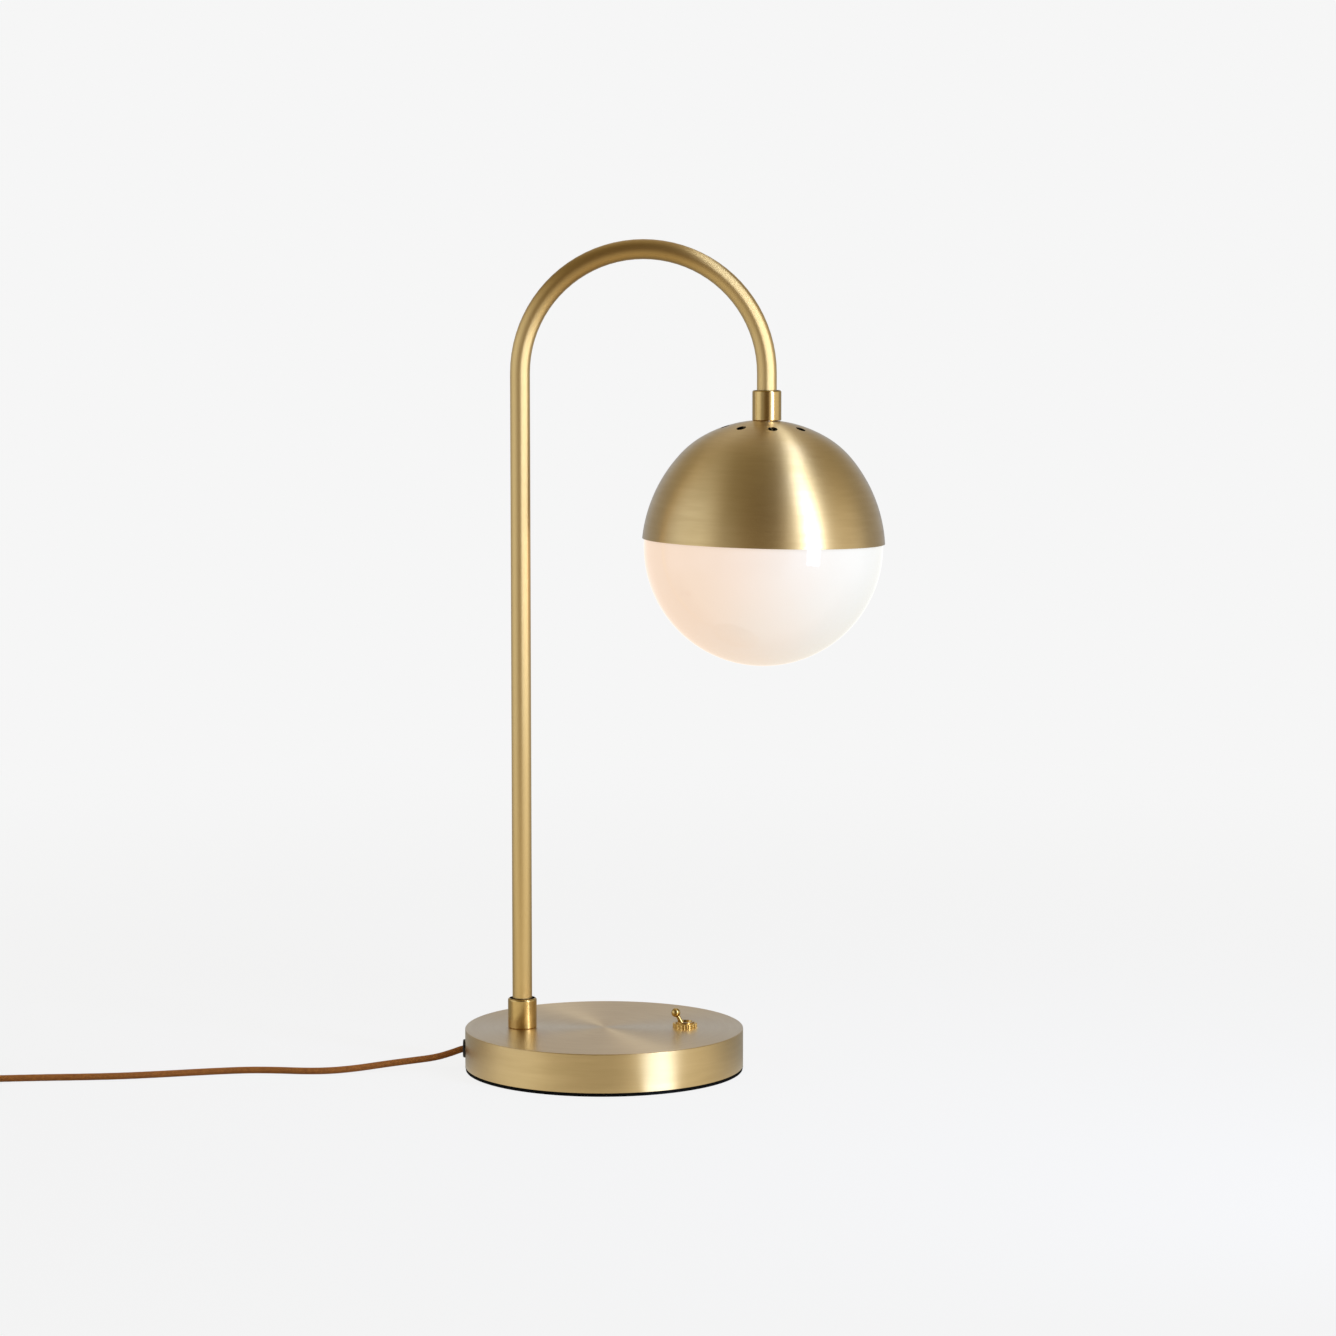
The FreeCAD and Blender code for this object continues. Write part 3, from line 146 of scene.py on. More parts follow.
class Graph:
    """The nodes of one material or world."""

    # Near black and dull: painted shade in bores, inside shells and under hems.
    painted_shade_black: ClassVar[dict[str, Any]] = {
        "Base Color": (0.006, 0.005, 0.004, 1.0), "Roughness": 1.0, "Specular IOR Level": 0.0,
    }

    def __init__(self, tree: bpy.types.NodeTree) -> None:
        """Empties the tree."""
        self.tree = tree
        tree.nodes.clear()

    def node(
        self,
        kind: str,
        settings: dict[str, Any] | None = None,
        sockets: dict[str | int, Any] | None = None,
        output: str | int = 0,
    ) -> Value:
        """Adds a node.

        Args:
            kind: The node's type.
            settings: Its own properties.
            sockets: Values or links of its input sockets.
            output: Which of its outputs to give back.

        Returns:
            The chosen output.
        """
        made = self.tree.nodes.new(kind)
        for name, value in (settings or {}).items():
            setattr(made, name, value)
        for key, value in (sockets or {}).items():
            if isinstance(value, Value):
                self.tree.links.new(value.socket, made.inputs[key])
            else:
                made.inputs[key].default_value = value
        return Value(self, made.outputs[output]) if made.outputs else Value(self, made.inputs[0])

    def maths(self, operation: str, *values: Any) -> Value:
        """Adds a Math node on values."""
        return self.node("ShaderNodeMath", {"operation": operation}, dict(enumerate(values)))

    def blend(self, share: Any, first: Any, second: Any) -> Value:
        """Mixes two colours.

        Args:
            share: How much of the second.
            first: A colour of three numbers, or a link.
            second: A colour of three numbers, or a link.

        Returns:
            The mixed colour.
        """
        ends = [end if isinstance(end, Value) else (*end, 1.0) for end in (first, second)]
        return self.node(
            "ShaderNodeMix", {"data_type": "RGBA"}, {0: share, 6: ends[0], 7: ends[1]}, 2
        )

    def place(self, centre: Point = (0.0, 0.0, 0.0), turn: Point = (0.0, 0.0, 0.0)) -> Value:
        """Object coordinates about a centre and along turned axes."""
        spot = self.node("ShaderNodeTexCoord", output="Object")
        return self.node(
            "ShaderNodeMapping",
            {"vector_type": "TEXTURE"},
            {"Vector": spot, "Location": centre, "Rotation": turn},
        )

    def split(self, vector: Value) -> tuple[Value, Value, Value]:
        """The three parts of a vector."""
        parts = self.tree.nodes.new("ShaderNodeSeparateXYZ")
        self.tree.links.new(vector.socket, parts.inputs[0])
        return tuple(Value(self, output) for output in parts.outputs)

    def joined(self, across: Any, along: Any, up: Any) -> Value:
        """A vector of three parts."""
        return self.node("ShaderNodeCombineXYZ", None, {0: across, 1: along, 2: up})

    def vectors(self, operation: str, *values: Any, output: str = "Vector") -> Value:
        """Adds a Vector Math node on values."""
        return self.node(
            "ShaderNodeVectorMath", {"operation": operation}, dict(enumerate(values)), output
        )

    def scaled(self, vector: Value, size: Any) -> Value:
        """A vector times a number."""
        return self.node("ShaderNodeVectorMath", {"operation": "SCALE"}, {0: vector, "Scale": size})

    def noise(self, vector: Value, scale: float, detail: float = 2.0, fourth: Any = None) -> Value:
        """Smooth noise from 0 to 1.

        Args:
            vector: Where it is read.
            scale: Waves per metre, or per unit of the vector.
            detail: Octaves.
            fourth: A fourth coordinate, or none.

        Returns:
            The noise.
        """
        sockets = {"Vector": vector, "Scale": scale, "Detail": detail}
        if fourth is not None:
            sockets["W"] = fourth
        return self.node(
            "ShaderNodeTexNoise",
            {"noise_dimensions": "3D" if fourth is None else "4D"},
            sockets,
        )

    def bump(self, height: Value, depth: float) -> Value:
        """A normal from a height that reaches from 0 to 1 over a depth in metres."""
        return self.node("ShaderNodeBump", None, {"Height": height, "Distance": depth, "Strength": 1.0})

    def surface(
        self, sockets: dict[str, Any], normals: Sequence[Value] = (), bright: Value | None = None
    ) -> None:
        """Ends a material in a Principled surface.

        Args:
            sockets: What its inputs get.
            normals: Its normal, or several that it shares evenly.
            bright: Where the surface is finished, and painted shade, black and dull, elsewhere; none for
                everywhere.
        """
        kind = "ShaderNodeBsdfPrincipled"
        made = [self.node(kind, None, {**sockets, "Normal": normal}) for normal in normals]
        shader = made[0] if made else self.node(kind, None, sockets)
        for count, another in enumerate(made[1:], 2):
            shader = self.node("ShaderNodeMixShader", None, {0: 1 / count, 1: shader, 2: another})
        if bright is not None:
            painted_shade = self.node(kind, None, self.painted_shade_black)
            shader = self.node("ShaderNodeMixShader", None, {0: bright, 1: painted_shade, 2: shader})
        self.node("ShaderNodeOutputMaterial", None, {"Surface": shader})


def new_material(name: str, shown: Colour) -> tuple[bpy.types.Material, Graph]:
    """A named material with an empty graph, and its colour in a plain viewport."""
    material = bpy.data.materials.new(name)
    material.use_nodes = True
    material.diffuse_color = (*shown, 1.0)
    return material, Graph(material.node_tree)


class Grain(Enum):
    """How the marks of a metal's finishing run."""

    ROUND = "round"
    ALONG = "along"
    NONE = "none"


# The tube's arch: the middle of its half circle, and the radius of its centre line.
ARCH_X = 0.0251
ARCH_Z = 0.4392
ARCH_RADIUS = 0.0769


@dataclass(frozen=True)
class Metal:
    """A finished metal, with the marks that its finishing leaves.

    Attributes:
        name: The material's name.
        colour: Its colour.
        tone: Its second colour, in patches.
        roughness: Its mean roughness.
        grain: How its marks run.
        stretch: How far they stretch a highlight.
        line: The fine marks' width.
        depth: The marks' depth.
        centre: What the marks run round.
        lean: How far their axis leans, in radians.
        lacquer: How much lacquer lies over it.
        lacquer_roughness: The lacquer's roughness.
        fan: How many degrees its drawn marks throw the light to either side.
        bore: The radius inside which it is painted black as shade.
        shell: Whether it is a shell whose inside is painted black as shade.
        hem: The height under which it is painted black as shade.
        rub: How strongly the marks change its roughness.
    """

    name: str
    colour: Colour
    tone: Colour
    roughness: float
    grain: Grain = Grain.NONE
    stretch: float = 0.0
    line: float = 0.00035
    depth: float = 0.000012
    centre: Point = (0.0, 0.0, 0.0)
    lean: float = 0.0
    lacquer: float = 0.0
    lacquer_roughness: float = 0.12
    fan: float = 0.0
    bore: float = 0.0
    shell: bool = False
    hem: float = 0.0
    rub: float = 0.35

    blades: ClassVar[int] = 7
    # The painted dark reflection over the tube's arch: its colour, the heights over which it comes in,
    # and the X over which it fades out towards the head.
    arch_reflection_colour: ClassVar[Colour] = (0.56, 0.355, 0.12)
    arch_reflection_height: ClassVar[tuple[float, float]] = (0.452, 0.502)
    arch_reflection_end: ClassVar[tuple[float, float]] = (0.045, 0.078)
    soft_edge: ClassVar[float] = 0.0001
    outward: ClassVar[tuple[float, float]] = (0.25, 0.5)
    broad: ClassVar[float] = 0.0028
    cloud: ClassVar[float] = 0.03
    arc: ClassVar[float] = 2.6
    drawn_out: ClassVar[float] = 60.0
    across_grain: ClassVar[float] = 0.25
    pitted: ClassVar[float] = 900.0

    def streaks(self, graph: Graph, wide: float) -> Value:
        """Marks of a width in metres, drawn out along the grain.

        Args:
            graph: The material's nodes.
            wide: The marks' width.

        Returns:
            Noise from 0 to 1.
        """
        if self.grain is Grain.ALONG:
            return self.drawn(graph, wide)
        spot = graph.place(self.centre, (0.0, self.lean, 0.0))
        if self.grain is Grain.NONE:
            return graph.noise(spot, self.pitted, 3.0)
        across, along, up = graph.split(spot)
        reach = (across * across + along * along).root()
        turned = graph.joined(reach / wide, up / wide, across / reach * self.arc)
        return graph.noise(turned, 1.0, 2.0, along / reach * self.arc)

    def drawn(self, graph: Graph, wide: float) -> Value:
        """Marks that follow the tube up, round its arch and down.

        Args:
            graph: The material's nodes.
            wide: The marks' width.

        Returns:
            Noise from 0 to 1.
        """
        across, along, up = graph.split(graph.place())
        side, over = across - ARCH_X, graph.maths("MAXIMUM", up - ARCH_Z, 0.0)
        out = (side * side + over * over).root() - ARCH_RADIUS
        run = (across + up) / (wide * self.drawn_out)
        return graph.noise(graph.joined(out / wide, along / wide, run), 1.0, 2.0)

    def fanned(self, graph: Graph) -> list[Value]:
        """Normals fanned out round the tube but not along it, as its drawn marks throw the light."""
        across, _, up = graph.split(graph.place())
        side, over = across - ARCH_X, graph.maths("MAXIMUM", up - ARCH_Z, 0.0)
        axis = graph.vectors("NORMALIZE", graph.joined(over * -1, 0.0, side))
        normal = graph.node("ShaderNodeNewGeometry", output="Normal")
        round_it = graph.vectors("CROSS_PRODUCT", axis, normal)
        spread = [self.fan * (2 * index / (self.blades - 1) - 1) for index in range(self.blades)]
        return [
            graph.vectors("NORMALIZE", graph.vectors(
                "ADD", normal, graph.scaled(round_it, math.tan(math.radians(tilt)))
            ))
            for tilt in spread
        ]

    def painted_arch_reflection(self, graph: Graph, colour: Value) -> Value:
        """A colour with a painted dark reflection over the top of the tube's arch."""
        across, _, up = graph.split(graph.place())
        arch_reflection_share = up.smooth(*self.arch_reflection_height) * across.smooth(*self.arch_reflection_end, 1.0, 0.0)
        return graph.blend(arch_reflection_share, colour, self.arch_reflection_colour)

    def bright(self, graph: Graph) -> Value:
        """One on the finished faces, and zero where shade is painted: in a bore, inside a shell and below
        a hem.
        """
        spot = graph.place(self.centre, (0.0, self.lean, 0.0))
        if self.hem:
            return graph.split(spot)[2].smooth(self.hem - self.soft_edge, self.hem + self.soft_edge)
        if self.shell:
            normal = graph.node("ShaderNodeNewGeometry", output="Normal")
            out = graph.vectors("NORMALIZE", spot)
            return graph.vectors("DOT_PRODUCT", out, normal, output="Value").smooth(*self.outward)
        across, along, _ = graph.split(spot)
        reach = (across * across + along * along).root()
        return reach.smooth(self.bore - self.soft_edge, self.bore + self.soft_edge)

    def material(self) -> bpy.types.Material:
        """The metal's material."""
        made, graph = new_material(self.name, self.colour)
        fine = self.streaks(graph, self.line)
        coarse = self.streaks(graph, self.broad)
        clouds = graph.noise(graph.place(), 1 / self.cloud, 3.0)
        worn = (coarse * 0.6 + clouds * 0.4).smooth(*PATCHY)
        sockets = {
            "Base Color": graph.blend(worn, self.colour, self.tone),
            "Metallic": 1.0,
            "Roughness": self.roughness * ((fine - 0.5) * self.rub + (coarse - 0.5) * self.rub + 1.0),
            "Anisotropic": self.stretch,
            "Anisotropic Rotation": self.across_grain,
            "Coat Weight": self.lacquer,
            "Coat Roughness": self.lacquer_roughness,
        }
        if self.fan:
            # The drawn tube gets a painted dark reflection over its arch.
            sockets["Base Color"] = self.painted_arch_reflection(graph, sockets["Base Color"])
            normals = self.fanned(graph)
        else:
            normals = [graph.bump(fine * 0.6 + coarse * 0.4, self.depth)]
        # Painted shade, black and dull, in a bore, inside a shell and below a hem, wherever one is given.
        bright = self.bright(graph) if self.bore or self.shell or self.hem else None
        graph.surface(sockets, normals, bright)
        return made


@dataclass(frozen=True)
class Moulded:
    """A moulded or painted stuff with fine pores.

    Attributes:
        name: The material's name.
        colour: Its colour.
        roughness: Its mean roughness.
        pore: The pores' width.
        depth: Their depth.
        shade: How much of its colour its darker patches keep.
        coat: How much glaze lies over it.
        shine: How strongly it mirrors.
    """

    name: str
    colour: Colour
    roughness: float = 0.5
    pore: float = 0.0006
    depth: float = 0.00003
    shade: float = 0.75
    coat: float = 0.0
    shine: float = 0.5

    patches_per_metre: ClassVar[float] = 60.0

    def material(self) -> bpy.types.Material:
        """The stuff's material."""
        made, graph = new_material(self.name, self.colour)
        spot = graph.place()
        pores = graph.noise(spot, 1 / self.pore, 4.0)
        patches = graph.noise(spot, self.patches_per_metre, 3.0)
        darker = tuple(part * self.shade for part in self.colour)
        graph.surface({
            "Base Color": graph.blend(patches.smooth(*PATCHY), self.colour, darker),
            "Roughness": self.roughness * (0.85 + pores * 0.3),
            "Coat Weight": self.coat,
            "Specular IOR Level": self.shine,
            "Normal": graph.bump(pores, self.depth),
        })
        return made


@dataclass(frozen=True)
class Glass:
    """Blown glass: clear, or opal with a painted glow in it.

    Attributes:
        name: The material's name.
        colour: Its colour.
        roughness: Its mean roughness.
        clear: How much light goes through it.
        glow: The painted glow in it on its near side, towards the pole.
        far_glow: The painted glow in it on its far side.
        power: That painted glow's strength.
    """

    name: str
    colour: Colour
    roughness: float = 0.06
    clear: float = 0.0
    glow: Colour = (0.0, 0.0, 0.0)
    far_glow: Colour = (0.0, 0.0, 0.0)
    power: float = 0.0

    # Where the painted glow turns from its near colour to its far one, and the heights over which painted
    # shade takes it away under the dome.
    near_side: ClassVar[float] = 0.04
    far_side: ClassVar[float] = 0.17
    lit_below: ClassVar[float] = 0.334
    dark_above: ClassVar[float] = 0.350
    cords_per_metre: ClassVar[float] = 22.0
    cord_sway: ClassVar[float] = 0.03
    cord_depth: ClassVar[float] = 0.0003
    milk: ClassVar[float] = 0.97

    def material(self) -> bpy.types.Material:
        """The glass's material."""
        made, graph = new_material(self.name, self.colour)
        spot = graph.place()
        cords = graph.noise(spot, self.cords_per_metre, 3.0)
        milky = tuple(part * self.milk for part in self.colour)
        across, _, up = graph.split(spot)
        # The painted glow: warmer on the side towards the pole, paler on the far side, and gone above the
        # dome's rim as painted shade.
        shift = (across + (cords - 0.5) * self.cord_sway).smooth(self.near_side, self.far_side)
        shaded = up.smooth(self.lit_below, self.dark_above)
        glow = graph.blend(shaded, graph.blend(shift, self.glow, self.far_glow), (0.0, 0.0, 0.0))
        graph.surface({
            "Base Color": graph.blend(cords, self.colour, milky),
            "Roughness": self.roughness * (0.8 + cords * 0.4),
            "IOR": 1.5,
            "Transmission Weight": self.clear,
            "Emission Color": glow,
            "Emission Strength": self.power,
            "Normal": graph.bump(cords, self.cord_depth),
        })
        return made


@dataclass(frozen=True)
class Braid:
    """A braided cover, read from a UV map: metres along, and once round."""

    name: str = "brown_braid"
    yarn: Colour = (0.62, 0.225, 0.042)
    second: Colour = (0.47, 0.160, 0.030)
    # The dark brown between the yarns is painted shade in the braid's gaps.
    gap_shade: Colour = (0.10, 0.034, 0.009)
    fibres: float = 3.0
    depth: float = 0.00022

    ends: ClassVar[int] = 8
    pitch: ClassVar[float] = 0.0136
    crown_curve: ClassVar[float] = 0.6
    hump_curve: ClassVar[float] = 0.5
    thread_height: ClassVar[float] = 0.12
    fuzz_height: ClassVar[float] = 0.15
    fuzz_per_metre: ClassVar[float] = 2600.0
    dye_step: ClassVar[float] = 3.7

    @classmethod
    def height(cls, along: float, around: float) -> float:
        """How high the yarn stands.

        Args:
            along: Metres along the cord.
            around: The place round it, from 0 to 1.

        Returns:
            One on a yarn's crown and zero between the yarns.
        """
        steps, turns = along * cls.ends / cls.pitch, around * cls.ends
        right, left = steps + turns, steps - turns
        over = (math.floor(right) + math.floor(left)) % 2
        across, length = (right % 1, left % 1) if over else (left % 1, right % 1)
        crown = math.sin(across * math.pi) ** cls.crown_curve
        return crown * math.sin(length * math.pi) ** cls.hump_curve

    def material(self) -> bpy.types.Material:
        """The braid's material."""
        made, graph = new_material(self.name, self.yarn)
        along, around, _ = graph.split(graph.node("ShaderNodeUVMap", {"uv_map": "braid"}))
        steps = along * (self.ends / self.pitch)
        turns = around * self.ends
        right, left = steps + turns, steps - turns
        over = (right.floor() + left.floor()) % 2
        first, second = right % 1, left % 1
        across = over * first + (1 - over) * second
        length = over * second + (1 - over) * first
        crown = (across * math.pi).sine() ** self.crown_curve
        hump = (length * math.pi).sine() ** self.hump_curve
        threads = (across * (2 * math.pi * self.fibres)).sine() * 0.5 + 0.5
        height = crown * hump + threads * self.thread_height
        fuzz = graph.noise(graph.place(), self.fuzz_per_metre, 3.0)
        dye = graph.noise(graph.joined(right.floor(), left.floor(), 0.0), self.dye_step, 0.0)
        cloth = graph.blend(dye.smooth(*PATCHY), self.yarn, self.second)
        graph.surface({
            # Darker between the yarns: painted shade in the gaps.
            "Base Color": graph.blend(height.smooth(0.02, 0.6), self.gap_shade, cloth),
            "Roughness": 0.62 + fuzz * 0.25,
            "Specular IOR Level": 0.25,
            "Sheen Weight": 0.12,
            "Sheen Roughness": 0.5,
            "Sheen Tint": (0.9, 0.6, 0.35, 1.0),
            "Normal": graph.bump(height + fuzz * self.fuzz_height, self.depth),
        })
        return made


# The head's lean from upright, and the middle of the dome's rim.
HEAD_LEAN = math.radians(1.4)
RIM = (0.100169, 0.0, 0.334732)

# The axes that the collars and the switch were turned about.
FOOT = (-0.0518, 0.0, 0.0)
NECK = (0.1020, 0.0, 0.0)
SWITCH = (0.0511, 0.0, 0.0)
BRASS: Colour = (0.73, 0.525, 0.235)
DEEP_BRASS: Colour = (0.68, 0.48, 0.205)


def brushed(name: str, centre: Point, **more: Any) -> Metal:
    """Lacquered brass that was brushed as it turned."""
    return Metal(name, BRASS, DEEP_BRASS, 0.42, Grain.ROUND, 0.82, centre=centre,
                 lacquer_roughness=0.28, **more)


def turned(name: str, centre: Point, bore: float) -> Metal:
    """Brass straight from the lathe, with painted shade, black, inside its bore."""
    return Metal(name, (0.66, 0.45, 0.175), (0.62, 0.42, 0.155), 0.20, Grain.ROUND, 0.2, 0.0002,
                 0.000001, centre, bore=bore)


def polished(name: str, centre: Point) -> Metal:
    """Polished brass."""
    return Metal(name, (0.66, 0.455, 0.165), (0.62, 0.42, 0.145), 0.09, Grain.ROUND, 0.0, 0.0003,
                 0.000002, centre)


FINISHES: dict[str, Any] = {
    # The base is painted black below 2.2 mm, as painted shade along its bottom edge over the pad.
    "base": brushed("brushed_base", (0.0, 0.0, 0.0), lacquer=1.0, hem=0.0022),
    # The dome's inside is painted black, as painted shade that shows through its vents.
    "dome": brushed("brushed_dome", RIM, lean=HEAD_LEAN, lacquer=0.6, shell=True),
    "tube": Metal("satin_tube", (0.76, 0.53, 0.220), (0.74, 0.51, 0.205), 0.30, Grain.ALONG, 0.0,
                  0.0006, fan=18.0, rub=0.06),
    # The collars are painted black inside their bores, as painted shade where the tube goes in.
    "foot": turned("turned_foot", FOOT, 0.0080),
    "neck": turned("turned_neck", NECK, 0.0083),
    "polished": polished("polished_switch", SWITCH),
    "nut": Metal("gilt_nut", (0.82, 0.56, 0.19), (0.78, 0.52, 0.17), 0.30, Grain.ROUND, 0.0, 0.0003,
                 0.000002, SWITCH),
    "plain": Metal("plain_brass", (0.72, 0.55, 0.28), (0.62, 0.46, 0.22), 0.34),
    "steel": Metal("plated_steel", (0.62, 0.62, 0.60), (0.52, 0.52, 0.50), 0.38),
    # The gallery is near black, as painted shade inside the dome that shows through the vents.
    "spun": Metal("spun_steel_painted_shade", (0.035, 0.035, 0.035), (0.025, 0.025, 0.025), 0.45, Grain.ROUND,
                  0.4, centre=RIM, lean=HEAD_LEAN),
    "nickel": Metal("nickel", (0.72, 0.69, 0.64), (0.66, 0.63, 0.58), 0.22),
    "iron": Moulded("painted_iron", (0.06, 0.06, 0.06), 0.6, 0.0012, 0.0002),
    "foam": Moulded("foam_rubber", (0.004, 0.004, 0.004), 0.85, 0.0007, 0.00012, shine=0.1),
    "silicone": Moulded("silicone", (0.72, 0.72, 0.70), 0.5),
    "phenolic": Moulded("phenolic", (0.02, 0.02, 0.02), 0.35),
    "porcelain": Moulded("porcelain", (0.82, 0.81, 0.78), 0.25, coat=0.5),
    "black": Moulded("black_plastic", (0.012, 0.012, 0.012), 0.42),
    "nylon": Moulded("nylon", (0.74, 0.73, 0.68), 0.45),
    "brown_wire": Moulded("brown_wire", (0.10, 0.045, 0.02), 0.4),
    "blue_wire": Moulded("blue_wire", (0.03, 0.10, 0.35), 0.4),
    "phosphor": Moulded("phosphor", (0.90, 0.62, 0.18), 0.6),
    "sheath": Moulded("inner_sheath", (0.16, 0.06, 0.02), 0.7, 0.0008, 0.0002),
    "tie": Moulded("hook_tape", (0.014, 0.014, 0.014), 0.9, 0.0005, 0.0003),
    "plug": Moulded("plug_plastic", (0.030, 0.022, 0.018), 0.42, 0.0005, 0.00002),
    "opal": Glass("opal_glass", (0.33, 0.32, 0.31), 0.04, glow=(0.79, 0.59, 0.44),
                  far_glow=(0.665, 0.65, 0.575), power=1.0),
    "clear": Glass("clear_glass", (0.95, 0.95, 0.94), 0.02, 1.0),
    "braid": Braid(),
}

DRESS: dict[str, str] = {
    "base_cover": "base", "base_pad": "foam", "base_weight": "iron", "bottom_plate": "steel",
    "plate_screws": "steel", "foot_collar": "foot", "foot_insert": "plain", "foot_nipple": "steel",
    "foot_nut": "steel", "foot_washer": "steel", "pole_tube": "tube", "head_collar": "neck",
    "head_insert": "plain", "head_stud": "steel", "shade_nipple": "steel", "dome_shade": "dome",
    "gallery_spacer": "plain", "glass_gallery": "spun", "gallery_nut": "steel",
    "holder_cap": "phenolic", "holder_shell": "phenolic", "holder_core": "porcelain",
    "holder_sleeve": "plain", "holder_contact": "plain", "holder_screws": "steel",
    "glass_globe": "opal", "globe_gasket": "silicone", "bulb_cap": "nickel",
    "bulb_insulator": "phenolic", "bulb_tip": "nickel", "bulb_envelope": "clear",
    "bulb_stem": "clear", "bulb_filaments": "phosphor", "switch_bushing": "polished",
    "switch_dress_nut": "nut", "switch_back_nut": "steel", "switch_case": "phenolic",
    "switch_floor": "phenolic", "switch_terminals": "plain", "switch_lever": "polished",
    "switch_plunger": "plain", "switch_pin": "steel", "switch_rocker": "plain",
    "cord_grommet": "black", "cord_clamp": "nylon", "clamp_screws": "steel",
    "cord_inner": "sheath", "lead_live": "brown_wire", "lead_neutral": "blue_wire",
    "riser_neutral": "blue_wire", "riser_live": "brown_wire", "wire_connector": "nylon",
    "cord_run": "sheath", "cord_tail": "sheath", "cord_coil": "sheath", "cord_tie": "tie",
    "plug_body": "plug", "plug_pins": "nickel", "pin_sleeves": "plug",
}


class Finishes:
    """Every finish, made into a material when a piece first asks for it."""

    def __init__(self) -> None:
        """Starts with no material made."""
        self.made: dict[str, bpy.types.Material] = {}

    def get(self, name: str) -> bpy.types.Material:
        """The material of a finish."""
        if name not in self.made:
            self.made[name] = FINISHES[name].material()
        return self.made[name]

    def dress(self, node: bpy.types.Object, name: str) -> None:
        """Gives a whole piece one finish."""
        node.data.materials.clear()
        node.data.materials.append(self.get(name))


